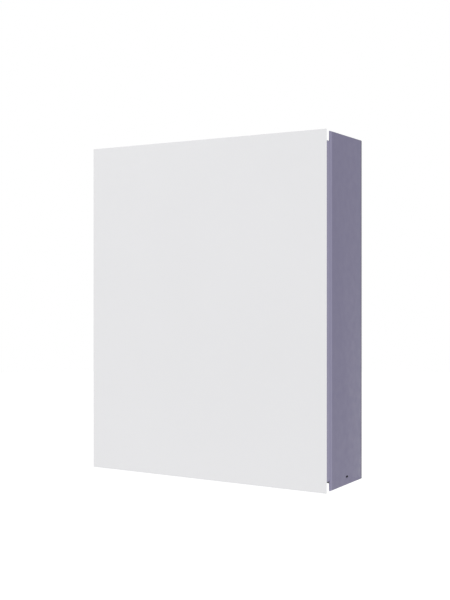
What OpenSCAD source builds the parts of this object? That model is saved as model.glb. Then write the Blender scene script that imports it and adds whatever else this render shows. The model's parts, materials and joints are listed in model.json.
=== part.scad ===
// Wall battery unit: a hood with a white front panel over a sheet-metal chassis that
// holds two battery modules, a fan-cooled inverter and a wiring bay, hung on a wall bracket.
// Frame: X to the right as seen from the front, Y towards the wall, Z up.
// The origin is on the wall, at the centre of the bracket's four bolt holes.

/* [Unit] */
// Width of the front panel and the hood
unit_w = 556; // [552:2:564]
// Height of the front panel
unit_h = 690; // [686:2:700]
// Depth from the wall to the front face
unit_d = 186; // [184:1:190]
// Clear depth between the wall and the body
wall_gap = 16; // [15:1:18]

/* [Hood] */
// Thickness of the front panel at its hemmed edge
panel_t = 3; // [2.5:0.5:4]
// How far the front panel stands past the side panels, above and below
panel_lap = 1.5; // [0:0.5:3]
// Depth of the shadow band between the front panel and the side panels
reveal_d = 16; // [12:1:18]
// How far the side panels run past the top and bottom plates
skirt = 19; // [18:1:24]
// Sheet thickness of the hood and the chassis
sheet = 1.5; // [1.2:0.1:2]
// Length of the catch slot in each side panel
catch_slot_l = 10; // [8:1:12]
// Height of the catch slot
catch_slot_h = 4; // [2.5:0.5:4]

/* [Bracket] */
// Distance between the bolt holes across
bolt_x = 360; // [320:10:380]
// Distance between the bolt holes up and down
bolt_z = 380; // [360:10:400]
// Radius of the bolt holes
bolt_r = 4.5; // [3.5:0.5:5]
// How far the unit lifts to unhook
lift = 14; // [12:1:16]

/* [Battery modules] */
// Cells in each module
cells = 14; // [12:1:14]
// Thickness of one cell
cell_t = 26.4; // [24:0.2:26.4]
// Width of one cell
cell_w = 148; // [140:1:148]
// Height of one cell, terminals left out
cell_d = 91; // [85:1:91]

/* [Wiring bay] */
// Bore radius of the mains gland
gland_r = 6.5; // [5:0.5:7]
// Bore radius of the two data glands
data_gland_r = 3.5; // [2.5:0.5:4]

/* [Cooling] */
// Side of each square fan
fan_w = 80; // [70:5:80]
// Blades on each fan
blades = 7; // [5:1:9]

/* [Hidden] */
$fn = 48;

// Levels of the shell
half_w = unit_w / 2;
half_h = unit_h / 2;
side_top = half_h - panel_lap;
tray_top = side_top - skirt;
plate_top = tray_top - 0.3;
y_front = -unit_d;
y_tray = y_front + panel_t;
y_side = y_tray + reveal_d;
y_body = -wall_gap;
y_plate = y_body - sheet;
y_mouth = y_side + 7;
hem = 2 * sheet;
bend_r = 2;
lip_w = 14;
rear_lip_w = 7.5;
tray_inset = 1;
skin = 1.2;
tray_lip = 12;
catch_y = (y_side + y_body) / 2 + 1.5;
catch_z = -tray_top - 3.3;

// Chassis
chassis_x = half_w - 10;
flange = 12;
shelf_z = plate_top - 290;
shelf_y = y_mouth + 12;
divider_x = chassis_x - 126;

// Stiffening beads pressed into the back of the chassis
bead_pitch = 122;
bead_r = 7;

// Bracket
bracket_t = 2;
rail_w = bolt_x + 50;
rail_h = 70;
lip_y = 9;
rail_top = bolt_z / 2 + rail_h / 2;
lip_top = rail_top + lift + 4;
hook_drop = lift - 4;
hook_t = 3;
hook_x = 140;
hook_w = 60;

// Battery modules: a module is drawn about the middle of its rear face
pad_h = 8;
module_w = 400;
module_h = 168;
module_y = y_plate - 18.5;
case_d = 104;
cover_d = 12;
case_t = 1.5;
cover_t = 2;
module_x = divider_x - 2 - module_w / 2;
module_z_lower = -plate_top + sheet + pad_h + module_h / 2;
module_z_upper = module_z_lower + module_h + pad_h;
cell_pitch = cell_t + 0.6;
stack_w = cells * cell_pitch;
end_t = 8;
terminal_z = 50;
terminal_h = 4;
busbar_t = 2;
cell_front = case_t + cell_d;
socket_r = 10;
socket_z = 56;
plus_x = 150;
minus_x = 110;
port_x = module_x + 168;
port_z = 40;

// Inverter
sink_x0 = -chassis_x + 18;
sink_w = 320;
sink_z0 = shelf_z + 36;
sink_h = 170;
sink_base = 6;
sink_y = y_plate - 38;
fin_pitch = 10;
fin_t = 2;
board_t = 1.6;
board_y = sink_y - sink_base - 12;
power_x0 = sink_x0 - 2;
power_w = 324;
control_x0 = power_x0 + power_w + 20;
control_w = 160;
control_h = 170;
transistor_n = 8;
transistor_pitch = 36;
toroid_r = 22;
toroid_wire_r = 10;
cap_r = 12.5;
cap_h = 40;

// Wiring bay
bay_x = (divider_x + chassis_x) / 2 + 1;
bay_w = chassis_x - divider_x - 10;
bay_plate_y = y_plate - 40;
rail_y = bay_plate_y - sheet;
rail_d = 7.5;
terminal_row_z = -plate_top + 82;
breaker_z = -plate_top + 185;
breaker_w = 36;
breaker_h = 84;
breaker_d = 60;
lever_y = rail_y - rail_d - breaker_d + 1;
isolator_z = -plate_top + 290;
isolator_w = 72;
isolator_d = 46;
knob_y = rail_y - isolator_d;
wire_y = -22;
gland_y = y_mouth + 52;
gland_list = [
    [bay_x - 24, gland_r, 10], [bay_x + 14, data_gland_r, 7], [bay_x + 42, data_gland_r, 7]
]; // each is its X, its bore and its thread radius
stud_x = chassis_x - 22;
stud_y = y_mouth + 20;
stud_r = 3;
switch_x = divider_x + 28;
switch_y = y_mouth + 20;
rocker_l = 19;
rocker_w = 11;
pivot_r = 1.5;
button_x = switch_x + 36;
button_r = 5;

// Fans
fan_t = 25;
fan_y = (y_plate + y_mouth) / 2 - 2;
fan_left_x = sink_x0 + sink_w * 0.27;
fan_right_x = sink_x0 + sink_w * 0.83;
fan_z = plate_top - sheet - fan_t / 2;
rotor_r = fan_w / 2 - 3;
hub_r = fan_w * 0.23;

// Cable routes: hand-laid runs from plug to terminal
plug_back = 7;
plug_y = module_y - case_d - cover_d - 14;
iso_low = isolator_z - isolator_w / 2 + 3.7;
iso_high = isolator_z + isolator_w / 2 - 3.7;
term_high = terminal_row_z + 19;
term_low = terminal_row_z - 19;
term_x = bay_x - 28;
term_y = rail_y - rail_d + wire_y;
breaker_low = breaker_z - breaker_h / 2;
breaker_high = breaker_z + breaker_h / 2;
block_x = power_x0 + power_w - 70;
block_y = board_y - board_t - 6;
block_z = sink_z0 - 1.2;
data_x = [control_x0 + 32.5, control_x0 + 54.5];
data_y = board_y - board_t - 7.25;
sx0 = module_x + minus_x;
sx1 = module_x + plus_x;
sz0 = module_z_lower - socket_z;
sz1 = module_z_upper - socket_z;
power_plugs = [[sx0, sz1, 0], [sx1, sz1, 180], [sx0, sz0, 0], [sx1, sz0, 90]];
dc_routes = [
    [[sx1, plug_y, sz1 - 18.2], [sx1, plug_y, sz1 - 24], [sx1, plug_y, sz1 - 34],
        [sx1 - 7, plug_y, sz1 - 66], [sx0 + 7, plug_y, sz0 + 66],
        [sx0, plug_y, sz0 + 34], [sx0, plug_y, sz0 + 24], [sx0, plug_y, sz0 + 18.2]],
    [[sx0, plug_y, sz1 + 18.2], [sx0, plug_y, sz1 + 23], [sx0 + 1, plug_y, sz1 + 31],
        [sx0 + 18, plug_y, sz1 + 45], [sx0 + 50, plug_y, sz1 + 47], [136, plug_y, -66],
        [156, -158, -74], [172, -136, -86], [184, -108, -89], [190, -94, -84],
        [190, -90, iso_low - 9], [190, -90, iso_low - 4], [190, -90, iso_low]],
    [[sx1 + 18.2, plug_y, sz0], [sx1 + 24, plug_y, sz0], [sx1 + 36, plug_y, sz0],
        [144, -164, -281], [157, -152, -262], [159, -142, -220],
        [161, -141, -150], [172, -139, -120], [196, -132, -108], [214, -116, -96],
        [221, -97, -86], [222, -90, iso_low - 9], [222, -90, iso_low - 4], [222, -90, iso_low]]
];
dc_feed_routes = [
    for (i = [0, 1]) [[190 + i * 32, -80, iso_high], [190 + i * 32, -80, iso_high + 6],
        [190 + i * 32, -81, 14], [186 + i * 28, -89, 35], [172 + i * 20, -95, 50 + i * 7],
        [148 + i * 20, -98, 56 + i * 10], [80 + i * 16, -98, 56 + i * 10],
        [block_x + 60 - i * 16, -95, 56 + i * 6], [block_x + 49 - i * 16, block_y - 1, 61],
        [block_x + 48 - i * 16, block_y, block_z - 4], [block_x + 48 - i * 16, block_y, block_z]]
];
ac_routes = [
    for (i = [0, 1]) each [
        [[term_x + i * 12.5, term_y, term_high], [term_x + i * 12.5, term_y, -212],
            [term_x + i * 12.5, term_y, -206], [197 + i * 18, term_y, -192],
            [197 + i * 18, term_y, -186], [197 + i * 18, term_y, breaker_low - 0.3]],
        [[197 + i * 18, -72, breaker_high + 0.3], [197 + i * 18, -72, -93],
            [199 + i * 18, -72, -88 - i * 2], [236 + i * 8, -69, -79 - i * 5],
            [247 + i * 6, -68, -60 - i * 2], [247 + i * 6, -70, -10],
            [245 + i * 6, -80 - i * 4, 34], [230 + i * 4, -100 - i * 5, 50 - i * 4],
            [200, -113 - i * 6, 57],
            [60, -113 - i * 6, 57], [block_x + 26 - i * 14, -106 - i * 4, 57],
            [block_x + 17 - i * 16, block_y - 1, 61], [block_x + 16 - i * 16, block_y, block_z - 3],
            [block_x + 16 - i * 16, block_y, block_z]]
    ],
    [[term_x + 37.5, term_y, term_low], [term_x + 37.5, term_y, -272],
        [term_x + 37.5, term_y - 1, -280], [226, -106, -297], [240, -130, -301],
        [stud_x, stud_y, -308], [stud_x, stud_y, -312], [stud_x, stud_y, -plate_top + sheet + 5.2]]
];
port_low = module_z_lower + port_z + 2;
port_high = module_z_upper + port_z + 2;
lead_y = fan_y - fan_w / 2 - 0.3;
signal_routes = [
    [[port_x, -156, port_low], [port_x, -156, port_low + 9], [port_x, -156, port_low + 16],
        [118, -156, -150], [124, -156, -126], [125, -156, -10], [126, -156, 34],
        [130, -152, 50], [140, -140, 52], [data_x[1], -118, 51], [data_x[1], -92, 51],
        [data_x[1], data_y, 57], [data_x[1], data_y, 62], [data_x[1], data_y, sink_z0 - 4.2]],
    [[port_x, -156, port_high], [port_x, -156, port_high + 9], [port_x, -156, 12],
        [port_x + 2, -156, 34], [port_x + 6, -152, 50], [port_x + 12, -140, 52],
        [data_x[0], -118, 51], [data_x[0], -92, 51], [data_x[0], data_y, 57],
        [data_x[0], data_y, 62], [data_x[0], data_y, sink_z0 - 4.2]],
    [[fan_left_x + 30, lead_y, 304], [fan_left_x + 30, lead_y - 2, 304],
        [fan_left_x + 30, lead_y - 4, 304], [fan_left_x + 36, -138, 300],
        [-100, -138, 290], [0, -138, 286], [120, -132, 280],
        [186, -112, 256], [198.5, -86, 238], [198.5, block_y, 230], [198.5, block_y, 225],
        [198.5, block_y, 220.5]],
    [[fan_right_x + 30, lead_y, 304], [fan_right_x + 30, lead_y - 2, 304],
        [fan_right_x + 30, lead_y - 4, 304], [fan_right_x + 36, -138, 300],
        [74, -137, 297], [120, -130, 291], [172, -112, 264],
        [183.5, -86, 238], [183.5, block_y, 230], [183.5, block_y, 225], [183.5, block_y, 220.5]]
];

// A box between two corners
module span(lo, hi) {
    translate(lo) cube(hi - lo);
}

// A flat rectangle with round corners, centred
module round_rect(w, h, r) {
    square([w - 2 * r, h], center = true);
    square([w, h - 2 * r], center = true);
    for (sx = [-1, 1], sy = [-1, 1])
        translate([sx * (w / 2 - r), sy * (h / 2 - r)]) circle(r = r);
}

// A flat slot with round ends along X, centred
module slot(l, w) {
    square([l - w, w], center = true);
    for (s = [-1, 1]) translate([s * (l - w) / 2, 0]) circle(d = w);
}

// Draws a right-hand piece and its mirror image on the left
module both() {
    children();
    mirror([1, 0, 0]) children();
}

// Turns a flat shape drawn in X and Z into a solid from y towards the front
module forward(y, d) {
    translate([0, y, 0]) rotate([90, 0, 0]) linear_extrude(d) children();
}

// A round bar from y towards the front
module rod(x, y, z, r, d) {
    translate([x, y, z]) rotate([90, 0, 0]) cylinder(r = r, h = d);
}

// Points of a Catmull-Rom curve through p, n steps to each stretch
function curve_point(a, b, c, d, t) =
    0.5 * (2 * b + (c - a) * t + (2 * a - 5 * b + 4 * c - d) * t * t
        + (3 * b - a - 3 * c + d) * t * t * t);
function curve(p, n) = let (last = len(p) - 1) [
    for (i = [0:last - 1], k = [0:n - 1])
        curve_point(p[max(i - 1, 0)], p[i], p[i + 1], p[min(i + 2, last)], k / n),
    p[last]
];
function unit(v) = v / norm(v);
function heading(p, i) = unit(p[min(i + 1, len(p) - 1)] - p[max(i - 1, 0)]);

// The side vector of each ring, carried along p without twisting
function carry(u, d) = unit(u - (u * d) * d);
function first_side(d) = carry(abs(d[1]) > 0.9 ? [1, 0, 0] : [0, 1, 0], d);
function side_vectors(p) = [
    for (i = 0, u = first_side(heading(p, 0)); i < len(p);
        u = carry(u, heading(p, min(i + 1, len(p) - 1))), i = i + 1) u
];

// A closed tube of radius r along the points p, with 8 sides
module tube(p, r) {
    sides = 8;
    n = len(p);
    across = side_vectors(p);
    rings = [
        for (i = [0:n - 1])
            let (u = across[i], v = cross(heading(p, i), u))
            for (k = [0:sides - 1])
                p[i] + r * (cos(k * 360 / sides) * u + sin(k * 360 / sides) * v)
    ];
    walls = [
        for (i = [0:n - 2], k = [0:sides - 1])
            let (a = i * sides + k, b = i * sides + (k + 1) % sides)
            [a, a + sides, b + sides, b]
    ];
    caps = [
        [for (k = [0:sides - 1]) k],
        [for (k = [sides - 1:-1:0]) (n - 1) * sides + k]
    ];
    polyhedron(points = rings, faces = concat(walls, caps), convexity = 4);
}

module cable(points, r) {
    tube(curve(points, 4), r);
}

// ---- Wall bracket ----

// A rail with two bolt holes and a levelling slot, its middle at height z
module bracket_rail(z) difference() {
    forward(0, bracket_t) translate([0, z]) round_rect(rail_w, rail_h, 6);
    for (s = [-1, 1]) rod(s * bolt_x / 2, 1, z, bolt_r, bracket_t + 2);
    forward(1, bracket_t + 2) translate([0, z]) slot(bolt_x * 0.4, 16);
}

// The upper rail has a ledge and an upright lip that the unit's hooks hang on
module bracket_upper() color([0.72, 0.74, 0.76]) {
    bracket_rail(bolt_z / 2);
    span([-rail_w / 2 + 6, -lip_y, rail_top - bracket_t], [rail_w / 2 - 6, 0, rail_top]);
    span([-rail_w / 2 + 6, -lip_y, rail_top - bracket_t],
        [rail_w / 2 - 6, -lip_y + bracket_t, lip_top]);
}

module bracket_lower() color([0.72, 0.74, 0.76]) bracket_rail(-bolt_z / 2);

// ---- Chassis ----

module chassis_back() color([0.62, 0.64, 0.66]) difference() {
    union() {
        span([-chassis_x, y_plate, -plate_top + sheet], [chassis_x, y_body, plate_top - sheet]);
        both() span([chassis_x - sheet, y_plate - flange, -plate_top + sheet + 1],
            [chassis_x, y_plate, plate_top - sheet - 1]);
        for (z = [-bead_pitch, 0, bead_pitch])
            intersection() {
                translate([-chassis_x + 50, y_body - 5, z]) rotate([0, 90, 0])
                    cylinder(r = bead_r, h = 2 * chassis_x - 100);
                span([-chassis_x, y_body - 1, z - bead_r], [chassis_x, y_body + 3, z + bead_r]);
            }
    }
    for (i = [-12:12])
        forward(y_body + 4, 8) translate([i * 18, plate_top - 34]) rotate(90) slot(24, 4);
}

// Slots in a plate for one fan, cut to its round outline
module fan_slots(x) {
    for (i = [-4:4]) {
        reach = 2 * sqrt(pow(rotor_r, 2) - pow(i * 8, 2));
        translate([x + i * 8, fan_y]) rotate(90) slot(reach, 4.2);
    }
}

// The front and side flanges of a top or bottom plate, turned inward at its level z
module plate_flanges(z, inward) {
    z0 = min(z, z + inward * flange);
    z1 = max(z, z + inward * flange);
    span([-chassis_x + sheet, y_mouth, z0], [chassis_x - sheet, y_mouth + sheet, z1]);
    both() span([chassis_x - sheet, y_mouth, z0], [chassis_x, y_plate - flange - 1, z1]);
}

module top_plate() color([0.62, 0.64, 0.66]) {
    translate([0, 0, plate_top - sheet]) linear_extrude(sheet) difference() {
        translate([-chassis_x, y_mouth]) square([2 * chassis_x, y_body - y_mouth]);
        fan_slots(fan_left_x);
        fan_slots(fan_right_x);
        for (i = [0:9])
            translate([control_x0 + 14 + i * 13, fan_y]) rotate(90) slot(58, 4);
    }
    plate_flanges(plate_top, -1);
}

// A row of intake slots through a level sheet whose underside is at z
module intake_slots(y, z, l) {
    for (i = [0:30])
        translate([-chassis_x + 24 + i * 11, y, z - 1]) linear_extrude(sheet + 2)
            rotate(90) slot(l, 4.5);
}

module bottom_plate() color([0.62, 0.64, 0.66]) difference() {
    union() {
        span([-chassis_x, y_mouth, -plate_top], [chassis_x, y_body, -plate_top + sheet]);
        plate_flanges(-plate_top, 1);
    }
    intake_slots(y_plate - 20, -plate_top, 24);
    for (g = gland_list)
        translate([g[0], gland_y, -plate_top - 1]) cylinder(r = g[2] + 0.2, h = sheet + 2);
    translate([stud_x, stud_y, -plate_top - 1]) cylinder(r = stud_r + 0.2, h = sheet + 2);
    translate([switch_x, switch_y, -plate_top - 1]) linear_extrude(sheet + 2)
        square([rocker_l + 2.4, rocker_w + 2.4], center = true);
    translate([button_x, switch_y, -plate_top - 1]) cylinder(r = button_r + 1.7, h = sheet + 2);
}

module shelf() color([0.66, 0.68, 0.70]) difference() {
    union() {
        span([-chassis_x + 2, shelf_y, shelf_z], [chassis_x - 2, y_plate, shelf_z + sheet]);
        span([-chassis_x + 2, shelf_y, shelf_z + sheet],
            [chassis_x - 2, shelf_y + sheet, shelf_z + flange]);
    }
    intake_slots(y_plate - 24, shelf_z, 28);
    translate([bay_x + 2, rail_y - 32, shelf_z - 1]) linear_extrude(sheet + 2) round_rect(100, 40, 6);
}

// The upright between the modules and the wiring bay, and the guide on the modules' left
module dividers() color([0.66, 0.68, 0.70]) {
    span([divider_x, y_mouth + 12, -plate_top + sheet], [divider_x + sheet, y_plate, shelf_z]);
    guide_x = module_x - module_w / 2 - 1;
    span([guide_x - sheet, y_plate - 80, -plate_top + sheet], [guide_x, y_plate, shelf_z]);
}

module hang_hooks() color([0.55, 0.57, 0.60]) both() {
    hook_top = lip_top + 0.2 + hook_t;
    x0 = hook_x - hook_w / 2;
    x1 = hook_x + hook_w / 2;
    span([x0, y_body, lip_top - 26], [x1, y_body + hook_t, hook_top]);
    span([x0, y_body, hook_top - hook_t], [x1, -2.5, hook_top]);
    span([x0, -2.5 - hook_t, lip_top - hook_drop], [x1, -2.5, hook_top]);
}

// Two buffers that space the unit off the lower rail, and the pads that the modules stand on
module rubber_pads() color([0.10, 0.10, 0.11]) {
    both() rod(150, -bracket_t - 0.2, -bolt_z / 2 - 20, 11, wall_gap - bracket_t - 0.2);
    for (z = [module_z_lower, module_z_upper], s = [-1, 1])
        span([module_x + s * 140 - 20, module_y - case_d + 8, z - module_h / 2 - pad_h],
            [module_x + s * 140 + 20, module_y - 8, z - module_h / 2]);
}

// A springy catch on a tab under each end of the bottom plate; its nose fits the hood's slot
module snap_catches() color([0.05, 0.05, 0.06]) both() {
    plate_x = chassis_x + 2.5;
    neck_x = half_w - 3.8;
    span([chassis_x - sheet, catch_y - 20, -plate_top - 13], [chassis_x, catch_y + 20, -plate_top]);
    span([chassis_x, catch_y - 15, catch_z - 4], [plate_x, catch_y + 15, catch_z + 2.6]);
    span([plate_x, catch_y - 13, catch_z - 1.25], [neck_x, catch_y + 13, catch_z + 1.25]);
    translate([neck_x, catch_y, catch_z]) rotate([90, 0, 90])
        linear_extrude(half_w - 0.4 - neck_x) slot(catch_slot_l - 0.8, catch_slot_h - 0.6);
}

// Pan-head screws that hold the boards and brackets, and the hooks' rivets
module chassis_screws() color([0.75, 0.76, 0.78]) {
    for (x = power_post_x, z = power_post_z)
        rod(x, board_y - board_t, z, 3.2, 2.2);
    for (x = control_post_x, z = control_post_z)
        rod(x, board_y - board_t, z, 3.2, 2.2);
    for (s = [-1, 1], t = [-1, 1])
        rod(s * hook_x + t * 20, y_body + hook_t + 2, lip_top - 18, 4, 2);
    for (sx = [-1, 1], z = [-250, 20])
        rod(bay_x + sx * (bay_w / 2 - 7), rail_y, z, 3.2, 2.2);
}

// ---- Battery modules ----

module module_case(z) color([0.30, 0.32, 0.35]) translate([module_x, module_y, z]) difference() {
    span([-module_w / 2, -case_d, -module_h / 2], [module_w / 2, 0, module_h / 2]);
    span([-module_w / 2 + case_t, -case_d - 1, -module_h / 2 + case_t],
        [module_w / 2 - case_t, -case_t, module_h / 2 - case_t]);
}

module cell_stack(z) color([0.16, 0.30, 0.62]) translate([module_x, module_y, z])
    for (i = [0:cells - 1]) translate([(i + 0.5) * cell_pitch - stack_w / 2, 0, 0]) {
        forward(-case_t, cell_d) round_rect(cell_t, cell_w, 3);
        for (s = [-1, 1])
            forward(-cell_front, terminal_h) translate([0, s * terminal_z]) round_rect(14, 14, 2);
        forward(-cell_front, 0.8) slot(16, 9);
    }

// End plates and tie bars that squeeze a cell stack
module stack_frames() color([0.80, 0.81, 0.83])
    for (z = [module_z_lower, module_z_upper]) translate([module_x, module_y, z]) stack_frame();

module stack_frame() {
    for (s = [-1, 1]) {
        x = s * (stack_w / 2 + end_t / 2 + 0.3);
        span([x - end_t / 2, -cell_front + 1, -cell_w / 2], [x + end_t / 2, -case_t - 1, cell_w / 2]);
        for (y = [-cell_front + 14, -26])
            span([-stack_w / 2 - end_t - 0.3, y - 8, s > 0 ? cell_w / 2 + 0.5 : -cell_w / 2 - 2.5],
                [stack_w / 2 + end_t + 0.3, y + 8, s > 0 ? cell_w / 2 + 2.5 : -cell_w / 2 - 0.5]);
        for (y = [-cell_front + 14, -26], t = [-1, 1])
            span([x - end_t / 2, y - 8, t > 0 ? cell_w / 2 - 0.5 : -cell_w / 2 - 1],
                [x + end_t / 2, y + 8, t > 0 ? cell_w / 2 + 1 : -cell_w / 2 + 0.5]);
    }
}

// Series links between neighbouring cells, in turn above and below, and the two end tabs
module busbars(z) color([0.78, 0.48, 0.26]) translate([module_x, module_y, z]) {
    for (i = [0:cells - 2]) {
        s = i % 2 == 0 ? 1 : -1;
        x = (i + 1) * cell_pitch - stack_w / 2;
        forward(-cell_front - terminal_h, busbar_t)
            translate([x, s * terminal_z]) round_rect(cell_pitch + 16, 17, 3);
    }
    for (i = [0, cells - 1])
        forward(-cell_front - terminal_h, busbar_t)
            translate([(i + 0.5) * cell_pitch - stack_w / 2, -terminal_z]) round_rect(18, 22, 3);
}

module cell_boards() color([0.05, 0.32, 0.20])
    for (z = [module_z_lower, module_z_upper]) translate([module_x, module_y, z]) cell_board();

module cell_board() {
    y = -cell_front - terminal_h - busbar_t;
    forward(y, board_t) round_rect(stack_w - 30, 62, 3);
    for (i = [-3:2])
        forward(y - board_t, 2) translate([i * 52 + 20, 6]) square([12, 12]);
    forward(y - board_t, 6) translate([stack_w / 2 - 46, -20]) square([24, 9]);
}

// Clear touch guard over a module's cells
module module_cover(z) color([0.80, 0.84, 0.88, 0.4]) translate([module_x, module_y - case_d, z])
    difference() {
        forward(0, cover_d) round_rect(module_w, module_h, 5);
        forward(1, cover_d - cover_t + 1) round_rect(module_w - 2 * cover_t, module_h - 2 * cover_t, 3);
        for (x = [minus_x, plus_x])
            rod(x, 1, -socket_z, socket_r + 0.3, cover_d + 2);
    }

// Round power sockets on the face of each module, plus above minus on the right
module module_sockets() color([0.85, 0.35, 0.08])
    for (z = [module_z_lower, module_z_upper], x = [minus_x, plus_x])
        translate([module_x + x, module_y - case_d, z - socket_z]) difference() {
            union() {
                rod(0, -2, 0, socket_r, cover_d + 5);
                rod(0, -cover_d, 0, socket_r + 2, 2);
            }
            rod(0, -cover_d - 1, 0, socket_r - 3, 8);
        }

// A small socket on each cover for the module's data lead, which enters from above
module data_ports() color([0.12, 0.12, 0.13])
    for (z = [module_z_lower, module_z_upper])
        translate([port_x, module_y - case_d - cover_d, z + port_z]) difference() {
            span([-8, -8, -8], [8, 0, 8]);
            span([-5, -6.4, 1], [5, -1.6, 9]);
        }

// ---- Inverter ----

power_post_x = [power_x0 + 8, power_x0 + power_w / 2, power_x0 + power_w - 8];
power_post_z = [sink_z0 + 6, sink_z0 + sink_h - 6];
control_post_x = [control_x0 + 7, control_x0 + control_w - 7];
control_post_z = [sink_z0 + 7, sink_z0 + control_h - 7];

module heat_sink() color([0.70, 0.72, 0.74]) {
    span([sink_x0, sink_y - sink_base, sink_z0], [sink_x0 + sink_w, sink_y, sink_z0 + sink_h]);
    for (i = [0:sink_w / fin_pitch])
        span([sink_x0 + min(i * fin_pitch, sink_w - fin_t), sink_y, sink_z0],
            [sink_x0 + min(i * fin_pitch, sink_w - fin_t) + fin_t, y_plate, sink_z0 + sink_h]);
}

module transistors() color([0.09, 0.09, 0.10])
    for (i = [0:transistor_n - 1])
        translate([sink_x0 + 34 + i * transistor_pitch, sink_y - sink_base, sink_z0 + 22]) {
            span([-8, -5, 0], [8, 0, 21]);
            for (k = [-1, 0, 1])
                span([k * 5.4 - 0.6, -3, -8], [k * 5.4 + 0.6, -2.2, 0]);
        }

module power_board() color([0.04, 0.30, 0.16]) {
    span([power_x0, board_y - board_t, sink_z0 - 4],
        [power_x0 + power_w, board_y, sink_z0 + sink_h + 4]);
    for (x = [0:3])
        span([power_x0 + power_w - 76 + x * 16, board_y - board_t - 12, sink_z0 - 1],
            [power_x0 + power_w - 64 + x * 16, board_y - board_t, sink_z0 + 11]);
}

// Wound ring chokes, standing off the board on their own bases
module inductors() color([0.72, 0.42, 0.20])
    for (i = [0:2]) translate([power_x0 + 44 + i * 66, board_y - board_t, sink_z0 + 64]) {
        span([-14, -3, -14], [14, 0, 14]);
        translate([0, -3 - toroid_wire_r, 0]) rotate([90, 0, 0])
            rotate_extrude() translate([toroid_r - 4, 0]) circle(r = toroid_wire_r);
    }

module transformer() color([0.85, 0.80, 0.62])
    translate([power_x0 + 238, board_y - board_t, sink_z0 + 66]) {
        span([-27, -8, -24], [27, 0, 24]);
        span([-14, -38, -20], [14, -8, 20]);
        for (s = [-1, 1]) span([s * 20.5 - 6.5, -38, -20], [s * 20.5 + 6.5, -8, 20]);
    }

module capacitors() color([0.08, 0.10, 0.16])
    for (i = [0:4])
        rod(power_x0 + 26 + i * 31, board_y - board_t, sink_z0 + 138, cap_r, cap_h);

module film_capacitors() color([0.90, 0.72, 0.12])
    for (i = [0:2])
        span([power_x0 + 172 + i * 42, board_y - board_t - 28, sink_z0 + 118],
            [power_x0 + 206 + i * 42, board_y - board_t, sink_z0 + 136]);

module relays() color([0.10, 0.10, 0.11])
    for (i = [0:3])
        span([power_x0 + 172 + i * 36, board_y - board_t - 17, sink_z0 + 144],
            [power_x0 + 201 + i * 36, board_y - board_t, sink_z0 + 158]);

module control_board() color([0.05, 0.22, 0.42])
    span([control_x0, board_y - board_t, sink_z0], [control_x0 + control_w, board_y, sink_z0 + control_h]);

module control_chips() color([0.08, 0.08, 0.09]) translate([control_x0, board_y - board_t, sink_z0]) {
    span([30, -2, 92], [58, 0, 120]);
    span([76, -3, 98], [94, 0, 122]);
    span([108, -1.5, 92], [122, 0, 106]);
    span([30, -8, 140], [64, 0, 149]);
    for (i = [0:3]) span([86 + i * 15, -9, 142], [97 + i * 15, 0, 150]);
    rod(124, 0, 72, 10, 4);
}

module data_sockets() color([0.72, 0.73, 0.75]) translate([control_x0, board_y - board_t, sink_z0])
    for (i = [0:2]) translate([24 + i * 22, 0, 0]) difference() {
        span([0, -14, -2], [17, 0, 19]);
        span([2.5, -11, -3], [14.5, -3.5, 12]);
    }

module board_posts() color([0.78, 0.70, 0.42]) {
    for (x = power_post_x, z = power_post_z)
        rod(x, sink_y - sink_base, z, 3.5, sink_y - sink_base - board_y);
    for (x = control_post_x, z = control_post_z)
        rod(x, y_plate, z, 3.5, y_plate - board_y);
}

// ---- Wiring bay ----

module bay_plate() color([0.66, 0.68, 0.70]) {
    z0 = -plate_top + 30;
    z1 = shelf_z - 8;
    span([bay_x - bay_w / 2, bay_plate_y - sheet, z0], [bay_x + bay_w / 2, bay_plate_y, z1]);
    for (s = [-1, 1])
        translate([bay_x + s * (bay_w - sheet) / 2, 0, 0])
            span([-sheet / 2, bay_plate_y, z0], [sheet / 2, y_plate, z1]);
}

// Top-hat rails for the terminals and the breaker: a web, two legs and two outward lips
module din_rail() color([0.76, 0.77, 0.79])
    for (z = [terminal_row_z, breaker_z]) translate([bay_x, rail_y, z]) {
        w = bay_w / 2 - 13;
        span([-w, -1, -12.5], [w, 0, 12.5]);
        for (s = [0, 1]) mirror([0, 0, s]) {
            span([-w, -rail_d, 12], [w, 0, 13]);
            span([-w, -rail_d, 12.5], [w, -rail_d + 1, 17.5]);
        }
    }

module terminals() color([0.55, 0.56, 0.58])
    for (i = [0:3]) translate([bay_x - 34 + i * 12.5, rail_y - rail_d, terminal_row_z]) difference() {
        union() {
            span([0, -30, -27], [12, 0, 27]);
            span([0, -40, -14], [12, -30, 14]);
        }
        for (s = [-1, 1]) {
            rod(6, -25, s * 21, 3, 6);
            translate([6, wire_y, s * 24]) cylinder(r = 2.6, h = 12, center = true);
        }
    }

module breaker_body() color([0.86, 0.86, 0.85]) translate([bay_x, rail_y - rail_d, breaker_z]) difference() {
    union() {
        span([-breaker_w / 2, -44, -breaker_h / 2], [breaker_w / 2, 0, breaker_h / 2]);
        span([-breaker_w / 2, -breaker_d, -23], [breaker_w / 2, -44, 23]);
    }
    span([-15.5, -breaker_d - 1, -9], [15.5, -breaker_d + 8, 9]);
    for (sx = [-1, 1], sz = [-1, 1]) rod(sx * 9, -43, sz * 33, 3.4, 14);
}

// The lever turns about an X axis inside the breaker's slot
module breaker_lever() color([0.10, 0.12, 0.16]) translate([bay_x, lever_y, breaker_z]) {
    rotate([0, 90, 0]) cylinder(r = 6.2, h = 30, center = true);
    rotate([-32, 0, 0]) for (s = [-1, 1]) span([s * 9 - 5, -15, -2], [s * 9 + 5, 0, 2]);
    rotate([-32, 0, 0]) span([-14, -15, -2], [14, -11, 2]);
}

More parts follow.
